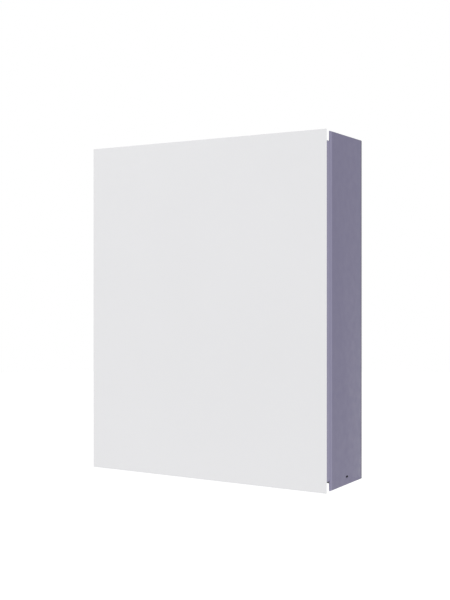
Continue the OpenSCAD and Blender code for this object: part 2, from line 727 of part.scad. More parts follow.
module isolator_body() color([0.14, 0.14, 0.15]) translate([bay_x, rail_y, isolator_z]) {
    forward(0, isolator_d - 6) round_rect(isolator_w - 8, isolator_w - 8, 4);
    forward(-isolator_d + 6, 6) round_rect(isolator_w, isolator_w, 6);
}

module isolator_knob() color([0.78, 0.08, 0.06]) translate([bay_x, knob_y - 0.4, isolator_z]) {
    rod(0, 0, 0, 24, 6);
    forward(-6, 16) slot(46, 13);
}

// Cable glands: a threaded body through the bottom plate, a lock nut inside and a dome nut outside
module gland(x, bore, body) translate([x, gland_y, -plate_top]) difference() {
    union() {
        translate([0, 0, -3]) cylinder(r = body + 3, h = 3, $fn = 6);
        translate([0, 0, -3]) cylinder(r = body - 0.3, h = sheet + 11);
        translate([0, 0, sheet]) cylinder(r = body + 2.6, h = 4.5, $fn = 6);
        translate([0, 0, -16]) cylinder(r1 = body - 1.5, r2 = body + 2, h = 13);
    }
    translate([0, 0, -17]) cylinder(r = bore, h = 34);
}

module glands() color([0.20, 0.21, 0.23])
    for (g = gland_list) gland(g[0], g[1], g[2]);

module earth_stud() color([0.80, 0.78, 0.60]) translate([stud_x, stud_y, -plate_top]) {
    translate([0, 0, -14]) cylinder(r = stud_r, h = 14 + sheet + 5);
    translate([0, 0, sheet]) cylinder(r = 5.8, h = 5, $fn = 6);
    translate([0, 0, -4]) cylinder(r = 5.8, h = 4, $fn = 6);
}

// The frames that hold the power rocker and the wake button
module switch_bezel() color([0.06, 0.06, 0.07]) {
    translate([switch_x, switch_y, -plate_top]) difference() {
        union() {
            translate([0, 0, -2]) linear_extrude(2) round_rect(rocker_l + 7, rocker_w + 7, 2);
            translate([0, 0, 0]) linear_extrude(20) square([rocker_l + 2, rocker_w + 2], center = true);
        }
        translate([0, 0, -3]) linear_extrude(15) square([rocker_l, rocker_w], center = true);
        translate([0, 0, 2]) rotate([90, 0, 0])
            cylinder(r = pivot_r + 0.05, h = rocker_w + 4, center = true);
    }
    translate([button_x, switch_y, -plate_top]) difference() {
        union() {
            translate([0, 0, -2]) cylinder(r = button_r + 3.5, h = 2);
            cylinder(r = button_r + 1.5, h = 16);
        }
        translate([0, 0, -3]) cylinder(r = button_r + 0.3, h = 15);
    }
}

// The rocker is two flats that meet on its pivot, and rests with one end pressed in
module power_rocker() color([0.09, 0.09, 0.10])
    translate([switch_x, switch_y, -plate_top + 2]) rotate([0, 9, 0]) rotate([90, 0, 0]) {
        linear_extrude(rocker_w - 0.8, center = true)
            polygon([[-8.6, -3.2], [0, -2.4], [8.6, -3.2], [7.6, 1], [3, 4.5], [-3, 4.5], [-7.6, 1]]);
        cylinder(r = pivot_r, h = rocker_w + 1.6, center = true);
    }

module wake_button() color([0.75, 0.76, 0.78]) translate([button_x, switch_y, -plate_top - 3.5]) {
    cylinder(r = button_r, h = 12.5);
}

// ---- Cooling ----

module fan_frames() color([0.07, 0.07, 0.08]) for (x = [fan_left_x, fan_right_x])
    translate([x, fan_y, fan_z]) difference() {
        union() {
            difference() {
                linear_extrude(fan_t, center = true) round_rect(fan_w, fan_w, 5);
                cylinder(r = fan_w / 2 - 1.5, h = fan_t + 2, center = true);
            }
            translate([0, 0, -fan_t / 2]) cylinder(r = hub_r - 2, h = 3);
            for (a = [45:90:315]) rotate(a)
                span([hub_r - 4, -1.8, -fan_t / 2], [fan_w / 2 - 0.5, 1.8, -fan_t / 2 + 3]);
        }
        for (sx = [-1, 1], sy = [-1, 1])
            translate([sx * (fan_w / 2 - 4.2), sy * (fan_w / 2 - 4.2), 0])
                cylinder(r = 2.1, h = fan_t + 2, center = true);
    }

// A hub with tilted blades
module fan_rotor(x) color([0.11, 0.11, 0.12]) translate([x, fan_y, fan_z - fan_t / 2 + 4]) {
    difference() {
        cylinder(r = hub_r, h = 19);
        translate([0, 0, -1]) cylinder(r = hub_r - 3, h = 8);
    }
    for (k = [0:blades - 1]) rotate(k * 360 / blades)
        translate([hub_r - 1, 0, 9.5]) rotate([42, 0, 0])
            span([0, -0.8, -10], [rotor_r - hub_r, 0.8, 10]);
}

// ---- Wiring ----
// The modules' power plugs turn at right angles, so their cables run flat behind the hood.

module dc_cables() color([0.80, 0.25, 0.05]) {
    for (route = dc_routes) cable(route, 4);
    for (route = dc_feed_routes) cable(route, 3);
}

module ac_wires() color([0.10, 0.30, 0.70])
    for (route = ac_routes) cable(route, 2.2);

module signal_cables() color([0.55, 0.56, 0.58])
    for (route = signal_routes) cable(route, 1.6);

// Right-angle power plugs, and the data leads' plugs at the sockets
module cable_plugs() color([0.90, 0.42, 0.06]) {
    for (plug = power_plugs) translate([plug[0], plug_y, plug[1]]) {
        rod(0, plug_back - 0.2, 0, socket_r - 3.4, 6.8);
        rod(0, plug_back - 7, 0, socket_r + 1, plug_back * 2 - 9);
        rotate([0, plug[2], 0]) cylinder(r = 6, h = 18);
    }
    for (i = [0, 1])
        span([data_x[i] - 5.6, data_y - 3.4, sink_z0 - 4], [data_x[i] + 5.6, data_y + 3.4, sink_z0 + 11]);
}

// ---- Hood ----

// Plan of a side panel: a wall with a lip turned in at the front and another at the rear
module side_plan(front_lip, rear_lip) {
    d = y_body - y_side;
    mid = (y_side + y_body) / 2;
    w = max(front_lip, rear_lip);
    intersection() {
        difference() {
            translate([half_w - w, mid]) round_rect(2 * w, d, bend_r);
            translate([half_w - w - sheet, mid]) round_rect(2 * w, d - 2 * sheet, bend_r - sheet);
        }
        union() {
            translate([half_w - front_lip, y_side]) square([front_lip, d / 2]);
            translate([half_w - rear_lip, mid]) square([rear_lip, d / 2]);
        }
    }
}

module hood_side() difference() {
    union() {
        translate([0, 0, -side_top]) linear_extrude(2 * side_top) side_plan(hem, hem);
        translate([0, 0, -tray_top + 3]) linear_extrude(2 * tray_top - 6) side_plan(lip_w, rear_lip_w);
        for (s = [0, 1]) mirror([0, 0, s])
            span([half_w - hem, y_side + sheet, side_top - 6],
                [half_w - sheet / 2, y_body - sheet, side_top]);
    }
    translate([half_w - hem - 1, catch_y, catch_z]) rotate([90, 0, 90])
        linear_extrude(hem + 2) slot(catch_slot_l, catch_slot_h);
}

module hood_side_right() color([0.50, 0.49, 0.57]) hood_side();
module hood_side_left() color([0.50, 0.49, 0.57]) mirror([1, 0, 0]) hood_side();

// The shallow pan behind the front panel, whose edge is the shadow band
module hood_tray() color([0.55, 0.54, 0.62]) {
    w = 2 * (half_w - tray_inset);
    h = 2 * tray_top;
    difference() {
        forward(y_side, reveal_d) round_rect(w, h, 2);
        forward(y_side + 1, reveal_d - sheet + 1) round_rect(w - 2 * sheet, h - 2 * sheet, 0.5);
        for (x = [-200, 0, 200], z = [-280, 0, 280])
            if (x != 0 || z != 0) rod(x, y_tray + 5, z, 2.8, 10);
    }
    difference() {
        forward(y_side, sheet) round_rect(w - 1, h - 1, 2);
        forward(y_side + 1, sheet + 2) round_rect(w - 2 * tray_lip, h - 2 * tray_lip, 4);
    }
}

module front_panel() color([0.92, 0.92, 0.93]) difference() {
    span([-half_w, y_front, -half_h], [half_w, y_tray, half_h]);
    span([-half_w + 14, y_front + skin, -half_h + 14], [half_w - 14, y_tray + 1, half_h - 14]);
}

// Weld studs and nuts that hold the front panel, guide tongues and foam seals
module hood_fittings() color([0.70, 0.71, 0.73]) {
    for (x = [-200, 0, 200], z = [-280, 0, 280]) if (x != 0 || z != 0) {
        rod(x, y_tray, z, 8, panel_t - skin);
        rod(x, y_tray + 10, z, 2.5, 10);
        translate([x, y_tray + sheet + 4, z]) rotate([90, 0, 0]) cylinder(r = 4.6, h = 4, $fn = 6);
    }
    both() for (s = [0, 1]) mirror([0, 0, s])
        span([75, y_tray + sheet, tray_top], [105, y_mouth + 20, tray_top + sheet]);
}

// Foam strips on the hood that close against the front of the chassis
module hood_seal() color([0.13, 0.13, 0.14]) {
    seal_x = half_w - lip_w;
    for (s = [0, 1]) mirror([0, 0, s])
        span([-seal_x + 4, y_side, tray_top - 11], [seal_x - 4, y_mouth - 0.4, tray_top - 4]);
    both() span([seal_x + 0.5, y_side + sheet, -tray_top + 4],
        [seal_x + 3.5, y_mouth - 0.4, tray_top - 4]);
}

// ---- Nodes ----

bracket_upper();
bracket_lower();
chassis_back();
top_plate();
bottom_plate();
shelf();
dividers();
hang_hooks();
rubber_pads();
snap_catches();
chassis_screws();
module_case(module_z_lower);  // module_case_lower
module_case(module_z_upper);  // module_case_upper
cell_stack(module_z_lower);  // cells_lower
cell_stack(module_z_upper);  // cells_upper
stack_frames();
busbars(module_z_lower);  // busbars_lower
busbars(module_z_upper);  // busbars_upper
cell_boards();
module_cover(module_z_lower);  // module_cover_lower
module_cover(module_z_upper);  // module_cover_upper
module_sockets();
data_ports();
heat_sink();
transistors();
power_board();
inductors();
transformer();
capacitors();
film_capacitors();
relays();
control_board();
control_chips();
data_sockets();
board_posts();
bay_plate();
din_rail();
terminals();
breaker_body();
breaker_lever();
isolator_body();
isolator_knob();
glands();
earth_stud();
switch_bezel();
power_rocker();
wake_button();
fan_frames();
fan_rotor(fan_left_x);  // fan_rotor_left
fan_rotor(fan_right_x);  // fan_rotor_right
dc_cables();
ac_wires();
signal_cables();
cable_plugs();
hood_side_left();
hood_side_right();
hood_tray();
front_panel();
hood_fittings();
hood_seal();
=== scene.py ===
import json
import random
from itertools import product
from math import cos, pi, radians, sin, sqrt, tan

import bmesh
import bpy
from mathutils import Matrix, Vector


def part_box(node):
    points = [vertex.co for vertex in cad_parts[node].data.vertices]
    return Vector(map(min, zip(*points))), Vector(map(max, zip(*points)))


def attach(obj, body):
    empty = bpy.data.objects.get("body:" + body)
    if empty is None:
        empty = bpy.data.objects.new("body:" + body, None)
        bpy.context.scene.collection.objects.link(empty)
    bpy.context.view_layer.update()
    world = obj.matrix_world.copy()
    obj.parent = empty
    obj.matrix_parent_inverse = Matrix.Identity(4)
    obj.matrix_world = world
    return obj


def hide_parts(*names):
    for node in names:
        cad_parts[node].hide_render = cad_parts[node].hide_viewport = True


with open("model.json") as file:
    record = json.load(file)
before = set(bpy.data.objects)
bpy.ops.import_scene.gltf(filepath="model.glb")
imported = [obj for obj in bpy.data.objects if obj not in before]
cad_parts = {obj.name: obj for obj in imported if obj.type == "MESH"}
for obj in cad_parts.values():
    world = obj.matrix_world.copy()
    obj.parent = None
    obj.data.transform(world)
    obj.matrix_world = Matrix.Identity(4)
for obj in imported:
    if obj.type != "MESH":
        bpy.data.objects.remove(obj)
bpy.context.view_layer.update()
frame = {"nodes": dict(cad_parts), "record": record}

MM = 0.001
FRONT = (0, -1, 0)
BACK = (0, 1, 0)
DOWN = (0, 0, -1)
UP = (0, 0, 1)
SIDES = ("left", "right")
SIGNS = (-1, 1)
CORNERS = tuple(product(SIGNS, repeat=2))
SEAM = 0.00001  # metres: points nearer than this are one point
FLAT = radians(0.6)  # faces that meet at less than this are one face
draw = random.Random(7)


# ---- Materials ----

def set_shader(m, values):
    for socket, value in values.items():
        m.node_tree.nodes["Principled BSDF"].inputs[socket].default_value = value


def new_material(name, colour, roughness, metallic=0.0, gloss=0.5, alpha=1.0):
    """A Principled material, with its plain values set on the shader itself."""
    m = bpy.data.materials.new(name)
    m.use_nodes = True
    set_shader(m, {
        "Base Color": (*colour, 1.0), "Roughness": roughness, "Metallic": metallic,
        "Specular IOR Level": gloss, "Alpha": alpha,
    })
    return m


def add_node(m, kind, **values):
    node = m.node_tree.nodes.new(kind)
    for key, value in values.items():
        node.inputs[key.replace("_", " ").title()].default_value = value
    return node


def link(m, out, into):
    m.node_tree.links.new(out, into)


def into_shader(m, out, socket):
    link(m, out, m.node_tree.nodes["Principled BSDF"].inputs[socket])


def place(m, stretch=(1, 1, 1), turn=(0, 0, 0)):
    """Object coordinates, which follow the piece, stretched along its axes."""
    coords = add_node(m, "ShaderNodeTexCoord")
    mapping = add_node(m, "ShaderNodeMapping", scale=stretch, rotation=turn)
    link(m, coords.outputs["Object"], mapping.inputs["Vector"])
    return mapping.outputs["Vector"]


def noise(m, scale, detail=2.0, stretch=(1, 1, 1)):
    node = add_node(m, "ShaderNodeTexNoise", scale=scale, detail=detail)
    link(m, place(m, stretch), node.inputs["Vector"])
    return node.outputs["Fac"]


def shade(colour, factor):
    return tuple(min(1.0, c * factor) for c in colour)


def vary_colour(m, colour, fac, spread, low=0.3, high=0.7):
    """Base colour between a darker and a lighter shade of one colour, by a pattern."""
    node = add_node(m, "ShaderNodeValToRGB")
    dark, light = node.color_ramp.elements
    dark.position = low
    dark.color = (*shade(colour, 1 - spread), 1)
    light.position = high
    light.color = (*shade(colour, 1 + spread), 1)
    link(m, fac, node.inputs["Fac"])
    into_shader(m, node.outputs["Color"], "Base Color")


def vary_roughness(m, low, high, fac):
    node = add_node(m, "ShaderNodeMapRange", from_min=0.3, from_max=0.7, to_min=low, to_max=high)
    link(m, fac, node.inputs["Value"])
    into_shader(m, node.outputs["Result"], "Roughness")


def bump(m, height, distance):
    node = add_node(m, "ShaderNodeBump", strength=1.0, distance=distance)
    link(m, height, node.inputs["Height"])
    into_shader(m, node.outputs["Normal"], "Normal")


def powder_coat(name, colour, roughness=0.42, spread=0.015, grain=900, depth=0.00004, gloss=0.5):
    m = new_material(name, colour, roughness, gloss=gloss)
    vary_colour(m, colour, noise(m, 5, 3), spread)
    vary_roughness(m, roughness - 0.05, roughness + 0.06, noise(m, 60, 2))
    bump(m, noise(m, grain, 2), depth)
    return m


def painted_edge_light(name, colour, pale, front, rear):
    """Powder coat with a painted highlight on the front bend and painted shade along the rear edge.

    The tone runs along Y, from the sheet's front edge to its rear edge, in metres.
    """
    m = powder_coat(name, colour, 0.45, gloss=0.35)
    parts = add_node(m, "ShaderNodeSeparateXYZ")
    link(m, place(m), parts.inputs["Vector"])
    along = add_node(m, "ShaderNodeMapRange", from_min=front, from_max=rear)
    link(m, parts.outputs["Y"], along.inputs["Value"])
    node = add_node(m, "ShaderNodeValToRGB")
    stops = node.color_ramp.elements
    depth = rear - front
    # the painted shade tone for the rear edge
    dark = shade(colour, 0.50)
    stops[0].color = (*pale, 1)
    stops[1].color = (*dark, 1)
    # painted highlight: the front bend is paler, where its rounded edge would catch light
    bend = ((0.0046, pale), (0.0062, shade(colour, 1.1)), (0.014, colour))
    # painted shade: a darker band along the rear edge
    rear_shade = ((depth - 0.0064, colour), (depth - 0.0050, dark))
    for at, tone in bend + rear_shade:
        stop = stops.new(at / depth)
        stop.color = (*tone, 1)
    link(m, along.outputs["Result"], node.inputs["Fac"])
    into_shader(m, node.outputs["Color"], "Base Color")
    return m


def brushed(name, colour, roughness, stretch=(4, 4, 160), depth=0.00002, metallic=1.0):
    m = new_material(name, colour, roughness, metallic)
    streaks = noise(m, 9, 3, stretch)
    vary_colour(m, colour, streaks, 0.08)
    vary_roughness(m, roughness - 0.07, roughness + 0.08, streaks)
    bump(m, streaks, depth)
    return m


def galvanised(name, colour, roughness=0.42):
    """Zinc-coated sheet: a faint spangle of flat crystals over a fine mottle."""
    m = new_material(name, colour, roughness, 0.8)
    crystals = add_node(m, "ShaderNodeTexVoronoi", scale=95)
    link(m, place(m, (1, 1, 1.4)), crystals.inputs["Vector"])
    vary_colour(m, colour, crystals.outputs["Color"], 0.03)
    vary_roughness(m, roughness - 0.06, roughness + 0.10, noise(m, 45, 4))
    bump(m, noise(m, 500, 2), 0.00002)
    return m


def plastic(name, colour, roughness=0.45, grain=1400, depth=0.00003, spread=0.05, gloss=0.5):
    m = new_material(name, colour, roughness, gloss=gloss)
    vary_colour(m, colour, noise(m, 30, 3), spread)
    vary_roughness(m, roughness - 0.05, roughness + 0.07, noise(m, 90, 2))
    bump(m, noise(m, grain, 1), depth)
    return m


def circuit_board(name, colour):
    """Solder mask with faint copper traces under it."""
    m = new_material(name, colour, 0.30)
    tones = {
        "color1": (*colour, 1), "color2": (*shade(colour, 1.2), 1), "mortar": (*shade(colour, 2.2), 1),
    }
    traces = add_node(m, "ShaderNodeTexBrick", scale=150, mortar_size=0.03, **tones)
    link(m, place(m, (1, 1, 1), (radians(90), 0, 0)), traces.inputs["Vector"])
    into_shader(m, traces.outputs["Color"], "Base Color")
    bump(m, traces.outputs["Fac"], 0.00003)
    vary_roughness(m, 0.25, 0.36, noise(m, 70, 2))
    return m


def clear(name, colour):
    m = new_material(name, colour, 0.12, alpha=0.09)
    vary_roughness(m, 0.08, 0.18, noise(m, 20, 3))
    bump(m, noise(m, 60, 2), 0.00003)
    return m


MATERIALS = {
    "panel_white": powder_coat("panel_white", (0.722, 0.722, 0.735), 0.48, 0.006),
    "shell_paint": powder_coat("shell_paint", (0.150, 0.140, 0.222), 0.45, 0.02, gloss=0.35),
    "zinc_steel": galvanised("zinc_steel", (0.50, 0.51, 0.52)),
    "bright_steel": brushed("bright_steel", (0.66, 0.66, 0.67), 0.28),
    "black_rubber": plastic("black_rubber", (0.022, 0.022, 0.022), 0.80, 700, 0.00006),
    "seal_foam": plastic("seal_foam", (0.03, 0.03, 0.032), 0.95, 1100, 0.00015, 0.2),
    "spring_steel": plastic("spring_steel", (0.004, 0.004, 0.005), 0.75, gloss=0.05),
    "module_paint": powder_coat("module_paint", (0.055, 0.06, 0.07), 0.55, 0.05, 700, 0.00006),
    "cell_film": plastic("cell_film", (0.02, 0.085, 0.32), 0.30, 500, 0.00002),
    "aluminium": brushed("aluminium", (0.72, 0.73, 0.75), 0.32),
    "copper": brushed("copper", (0.74, 0.31, 0.15), 0.25),
    "winding": plastic("winding", (0.52, 0.19, 0.05), 0.22, 300, 0.00002, 0.1),
    "board_green": circuit_board("board_green", (0.005, 0.055, 0.022)),
    "board_blue": circuit_board("board_blue", (0.005, 0.025, 0.095)),
    "clear_cover": clear("clear_cover", (0.85, 0.88, 0.90)),
    "orange_plastic": plastic("orange_plastic", (0.80, 0.19, 0.02)),
    "black_plastic": plastic("black_plastic", (0.022, 0.022, 0.024)),
    "transformer_tape": plastic("transformer_tape", (0.60, 0.42, 0.08), 0.30, 400, 0.00002),
    "capacitor_sleeve": plastic("capacitor_sleeve", (0.018, 0.028, 0.085), 0.25, 300, 0.00001),
    "film_yellow": plastic("film_yellow", (0.72, 0.40, 0.03), 0.35),
    "brass_posts": brushed("brass_posts", (0.72, 0.53, 0.24), 0.25),
    "grey_plastic": plastic("grey_plastic", (0.28, 0.29, 0.30)),
    "white_plastic": plastic("white_plastic", (0.68, 0.68, 0.66), 0.40, spread=0.015),
    "red_plastic": plastic("red_plastic", (0.55, 0.018, 0.01), 0.32),
    "wire_orange": plastic("wire_orange", (0.75, 0.15, 0.02), 0.42, 600, 0.00002),
    "wire_blue": plastic("wire_blue", (0.02, 0.12, 0.45), 0.42, 600, 0.00002),
    "wire_grey": plastic("wire_grey", (0.28, 0.29, 0.30), 0.45, 600, 0.00002),
}


# ---- Mesh tools, all in millimetres ----

def folded(angle, step):
    """The angle from the nearest of the axes that stand a step apart."""
    return abs((angle + step / 2) % step - step / 2)


def arms(angle, step, width):
    """Radius of a star of square-ended arms, each width times as wide as it is long."""
    off = folded(angle, radians(step))
    if tan(off) <= width:
        return 1 / cos(off)
    return width / sin(off)


OUTLINES = {
    "round": lambda a: 1.0,
    "hex": lambda a: cos(radians(30)) / cos(radians(30) - folded(a, radians(60))),
    "cross": lambda a: arms(a, 90, 0.30),
    "score": lambda a: arms(a, 90, 0.06),
    "slot": lambda a: arms(a, 180, 0.16),
    "fluted": lambda a: 1 + 0.035 * cos(16 * a),
}


def rect_outline(w, h, r, steps=4):
    """Points of a rectangle with round corners, centred."""
    r = min(r, w / 2 - 0.001, h / 2 - 0.001)
    points = []
    for quarter, (sx, sy) in enumerate(((1, 1), (-1, 1), (-1, -1), (1, -1))):
        for k in range(steps + 1):
            a = radians(90 * (quarter + k / steps))
            points.append((sx * (w / 2 - r) + r * cos(a), sy * (h / 2 - r) + r * sin(a)))
    return points


def span(middle, sign, near, far):
    """The ends of a stretch on one side of a middle, in order."""
    return sorted((middle + sign * near, middle + sign * far))


def add_object(name, data):
    obj = bpy.data.objects.new(name, data)
    bpy.context.collection.objects.link(obj)
    return obj


class Shape:
    """The geometry of one piece."""

    def __init__(self):
        self.bm = bmesh.new()

    def loft(self, loops, bore=False):
        """A closed surface through loops of points; with bore the last loop joins the first."""
        made = [[self.bm.verts.new(p) for p in loop] for loop in loops]
        pairs = list(zip(made, made[1:]))
        if bore:
            pairs.append((made[-1], made[0]))
        for a, b in pairs:
            for k in range(len(a)):
                n = (k + 1) % len(a)
                self.bm.faces.new((a[k], a[n], b[n], b[k]))
        if not bore:
            self.bm.faces.new(list(reversed(made[0])))
            self.bm.faces.new(made[-1])

    def turned(self, at, axis, rings, sides=24, bore=False):
        """A lathed form: each ring is a radius, a height along the axis and an outline."""
        axis = Vector(axis).normalized()
        side = Vector(UP) if abs(axis.z) < 0.9 else Vector((1, 0, 0))
        u = (side - axis * side.dot(axis)).normalized()
        v = axis.cross(u)
        loops = []
        for radius, height, *outline in rings:
            form = OUTLINES[outline[0] if outline else "round"]
            middle = Vector(at) + axis * height
            angles = [2 * pi * k / sides for k in range(sides)]
            loops.append([middle + (u * cos(a) + v * sin(a)) * radius * form(a) for a in angles])
        self.loft(loops, bore)

    def facing(self, x, z, sections):
        """A form seen from the front: each section is a Y, a width, a height and a corner radius."""
        loops = []
        for y, w, h, r in sections:
            loops.append([Vector((x + px, y, z + pz)) for px, pz in rect_outline(w, h, r)])
        self.loft(loops)

    def block(self, lo, hi, edge=0.4, turn=None):
        """A box with chamfered edges; turn rotates it about its middle."""
        lo, hi = Vector(lo), Vector(hi)
        middle = (lo + hi) / 2
        half = (hi - lo) / 2
        edge = min(edge, 0.35 * min(half))
        made = {}
        signs = tuple(product(SIGNS, repeat=3))
        for s in signs:
            for axis in range(3):
                p = Vector([s[i] * (half[i] - (0 if i == axis else edge)) for i in range(3)])
                made[s, axis] = self.bm.verts.new(middle + (turn @ p if turn else p))
        for s in signs:
            self.bm.faces.new([made[s, axis] for axis in range(3)])
        for axis in range(3):
            i, j = [k for k in range(3) if k != axis]

            def corner(a, b, c):
                s = [0, 0, 0]
                s[axis], s[i], s[j] = a, b, c
                return tuple(s)

            for a in SIGNS:
                around = ((-1, -1), (1, -1), (1, 1), (-1, 1))
                self.bm.faces.new([made[corner(a, b, c), axis] for b, c in around])
            for b, c in CORNERS:
                p, q = corner(-1, b, c), corner(1, b, c)
                self.bm.faces.new((made[p, i], made[q, i], made[q, j], made[p, j]))

    def tube(self, points, radius, sides=8, closed=False):
        """A round bar along points, its side vector carried along without twisting."""
        points = [Vector(p) for p in points]
        n = len(points)
        loops = []
        side = None
        for i, p in enumerate(points):
            before = points[i - 1] if closed or i else p
            after = points[(i + 1) % n] if closed or i < n - 1 else p
            ahead = (after - before).normalized()
            side = side or ahead.orthogonal()
            side = (side - ahead * side.dot(ahead)).normalized()
            up = ahead.cross(side)
            angles = [2 * pi * k / sides for k in range(sides)]
            loops.append([p + (side * cos(a) + up * sin(a)) * radius for a in angles])
        self.loft(loops, closed)

    def screw(self, at, axis, radius, recess="cross", high=2.0):
        """A pan head with a driver recess."""
        r = radius
        self.turned(at, axis, [
            (r, 0), (r, high * 0.3), (r * 0.92, high * 0.75), (r * 0.72, high),
            (r * 0.52, high, recess), (r * 0.46, high * 0.45, recess),
        ])

    def nut(self, at, axis, radius, high):
        """A hexagon nut with chamfered corners on a round washer face."""
        self.turned(at, axis, [
            (radius * 0.86, 0), (radius * 0.88, 0.4), (radius, 0.8, "hex"),
            (radius, high - 0.7, "hex"), (radius * 0.84, high),
        ])

    def thread(self, at, axis, radius, start, end, pitch=1.0):
        """A threaded bar: fine rings from start to end."""
        rings = [(radius * 0.8, start)]
        count = int((end - start) / pitch)
        for k in range(count):
            rings.append((radius, start + (k + 0.35) * pitch))
            rings.append((radius * 0.86, start + (k + 0.85) * pitch))
        rings.append((radius * 0.7, end))
        self.turned(at, axis, rings, 16)

    def ring(self, at, axis, inner, outer, high):
        """A flat ring with softened edges."""
        e = min(0.3, high / 3, (outer - inner) / 4)
        self.turned(at, axis, [
            (inner, 0), (outer, 0), (outer, high - e), (outer - e, high),
            (inner + e, high), (inner, high - e),
        ], bore=True)

    def resize(self, factor):
        bmesh.ops.scale(self.bm, vec=(factor, factor, factor), verts=self.bm.verts)

    def bake(self, name, material):
        """Ends the shape as an object, in metres."""
        self.resize(MM)
        mesh = bpy.data.meshes.new(name)
        self.bm.to_mesh(mesh)
        self.bm.free()
        mesh.materials.append(material)
        return add_object(name, mesh)

    def piece(self, name, slot, body="chassis", replaces=(), smooth=50):
        """Makes the object, gives it its slot's material and lets it ride on a body."""
        bmesh.ops.recalc_face_normals(self.bm, faces=self.bm.faces)
        obj = self.bake(name, MATERIALS[slot])
        obj.data.shade_smooth()
        obj.data.set_sharp_from_angle(angle=radians(smooth))
        normals = obj.modifiers.new("normals", "WEIGHTED_NORMAL")
        normals.keep_sharp = True
        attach(obj, body)
        if replaces:
            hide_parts(*replaces)
        return obj


def box_mm(node):
    lo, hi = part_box(node)
    return lo / MM, hi / MM


def middle_mm(node):
    lo, hi = box_mm(node)
    return (lo + hi) / 2


def middle_xz(lo, hi):
    return (lo.x + hi.x) / 2, (lo.z + hi.z) / 2


# ---- CAD nodes that stay: material and softened edges ----

SLOT_OF = {row["node"]: row["material_slot"] for row in frame["record"]["subparts"]}
# A lighter copy of the shell paint for the tray strip: painted light, brighter than the side panels' paint
# to stand in for the light the strip gets
LIT_BAND_TONE = (0.215, 0.203, 0.300)
SIDE_TONE = (0.150, 0.140, 0.222)
LIT_BAND_PAINT = powder_coat("band_lit_paint", LIT_BAND_TONE, 0.45, 0.02, gloss=0.35)
SIDE_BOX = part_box("hood_side_right")
# side panel paint with a painted highlight along the front bend and painted shade along the rear edge
SIDE_PAINTED_LIGHT = painted_edge_light("side_painted_light", SIDE_TONE, shade(LIT_BAND_TONE, 1.1), SIDE_BOX[0].y, SIDE_BOX[1].y)
EDGE_WIDTH = 0.25
EDGE = {"hood_seal": 1.0, "isolator_body": 0.8, "hood_side_left": 0.4, "hood_side_right": 0.4}
CABLES = ("dc_cables", "ac_wires", "signal_cables")


def soften(obj, width):
    """Joins a node's flat faces and rounds its sharp edges, with modifiers only."""
    weld = obj.modifiers.new("weld", "WELD")
    weld.merge_threshold = SEAM
    flats = obj.modifiers.new("flats", "DECIMATE")
    flats.decimate_type = "DISSOLVE"
    flats.angle_limit = FLAT
    edge = obj.modifiers.new("edge", "BEVEL")
    edge.width = width * MM
    edge.segments = 2
    edge.limit_method = "ANGLE"
    edge.angle_limit = radians(40)
    edge.harden_normals = True


def dress_nodes():
    for node, obj in frame["nodes"].items():
        obj.data.materials.clear()
        obj.data.materials.append(MATERIALS[SLOT_OF[node]])
        if node not in CABLES:
            soften(obj, EDGE.get(node, EDGE_WIDTH))
    # the tray strip gets the lighter copy of the shell paint, painted light
    frame["nodes"]["hood_tray"].data.materials[0] = LIT_BAND_PAINT
    for side in SIDES:
        hood_side(side)


def node_copy(node, flat):
    """A node's mesh as a shape, with its points joined and its flat faces made whole."""
    shape = Shape()
    bm = shape.bm
    bm.from_mesh(frame["nodes"][node].data)
    bmesh.ops.remove_doubles(bm, verts=bm.verts, dist=SEAM)
    bmesh.ops.dissolve_limit(bm, angle_limit=flat, verts=bm.verts, edges=bm.edges)
    return shape


HOOD_SIDE_X = 275.9  # mm: edges beyond this are on a side panel's outer side
HOOD_BEND = 1.3  # mm
SHARP = 0.7  # radians: a fold beyond this is a corner of the sheet


def hood_side(side):
    """A copy of a side panel with its top and bottom outer edges rolled to a larger radius."""
    node = "hood_side_" + side
    shape = node_copy(node, FLAT)
    shape.resize(1 / MM)
    top = box_mm(node)[1].z
    rims = []
    for edge in shape.bm.edges:
        a, b = (v.co for v in edge.verts)
        at_end = all(abs(abs(p.z) - top) < 0.01 for p in (a, b))
        outside = min(abs(a.x), abs(b.x)) > HOOD_SIDE_X
        if at_end and outside and len(edge.link_faces) == 2 and edge.calc_face_angle() > SHARP:
            rims.append(edge)
    bmesh.ops.bevel(shape.bm, geom=rims, offset=HOOD_BEND, segments=3, profile=0.5, affect="EDGES")
    obj = shape.piece(node + "_sheet", "shell_paint", "hood", [node], smooth=35)
    # the side panel gets the paint with the painted highlight and painted shade
    obj.data.materials[0] = SIDE_PAINTED_LIGHT
    soften(obj, EDGE_WIDTH)


def smooth_cable(node):
    """A rounder copy of a cable's faceted tube, with its cut ends kept square."""
    shape = node_copy(node, radians(0.5))
    bm = shape.bm
    bmesh.ops.join_triangles(bm, faces=bm.faces, angle_face_threshold=pi, angle_shape_threshold=pi)
    crease = bm.edges.layers.float.new("crease_edge")
    for face in bm.faces:
        if len(face.verts) > 5:
            for edge in face.edges:
                edge[crease] = 1.0
    shape.resize(1 / MM)
    obj = shape.piece(node + "_round", SLOT_OF[node], "chassis", [node], smooth=80)
    rounder = obj.modifiers.new("rounder", "SUBSURF")
    rounder.levels = 1
    rounder.render_levels = 1


# ---- Shell and underside ----

def rivets():
    """Dome rivets that join the back pan to the top and bottom plates."""
    shape = Shape()
    lo, hi = box_mm("chassis_back")
    back = box_mm("top_plate")[1].y
    for z in (lo.z + 8, hi.z - 8):
        for k in range(-3, 4):
            shape.turned((k * 78, back, z), BACK, [(3.0, 0), (3.0, 0.3), (2.3, 0.9), (1.0, 1.2)], 16)
    shape.piece("pan_rivets", "bright_steel")


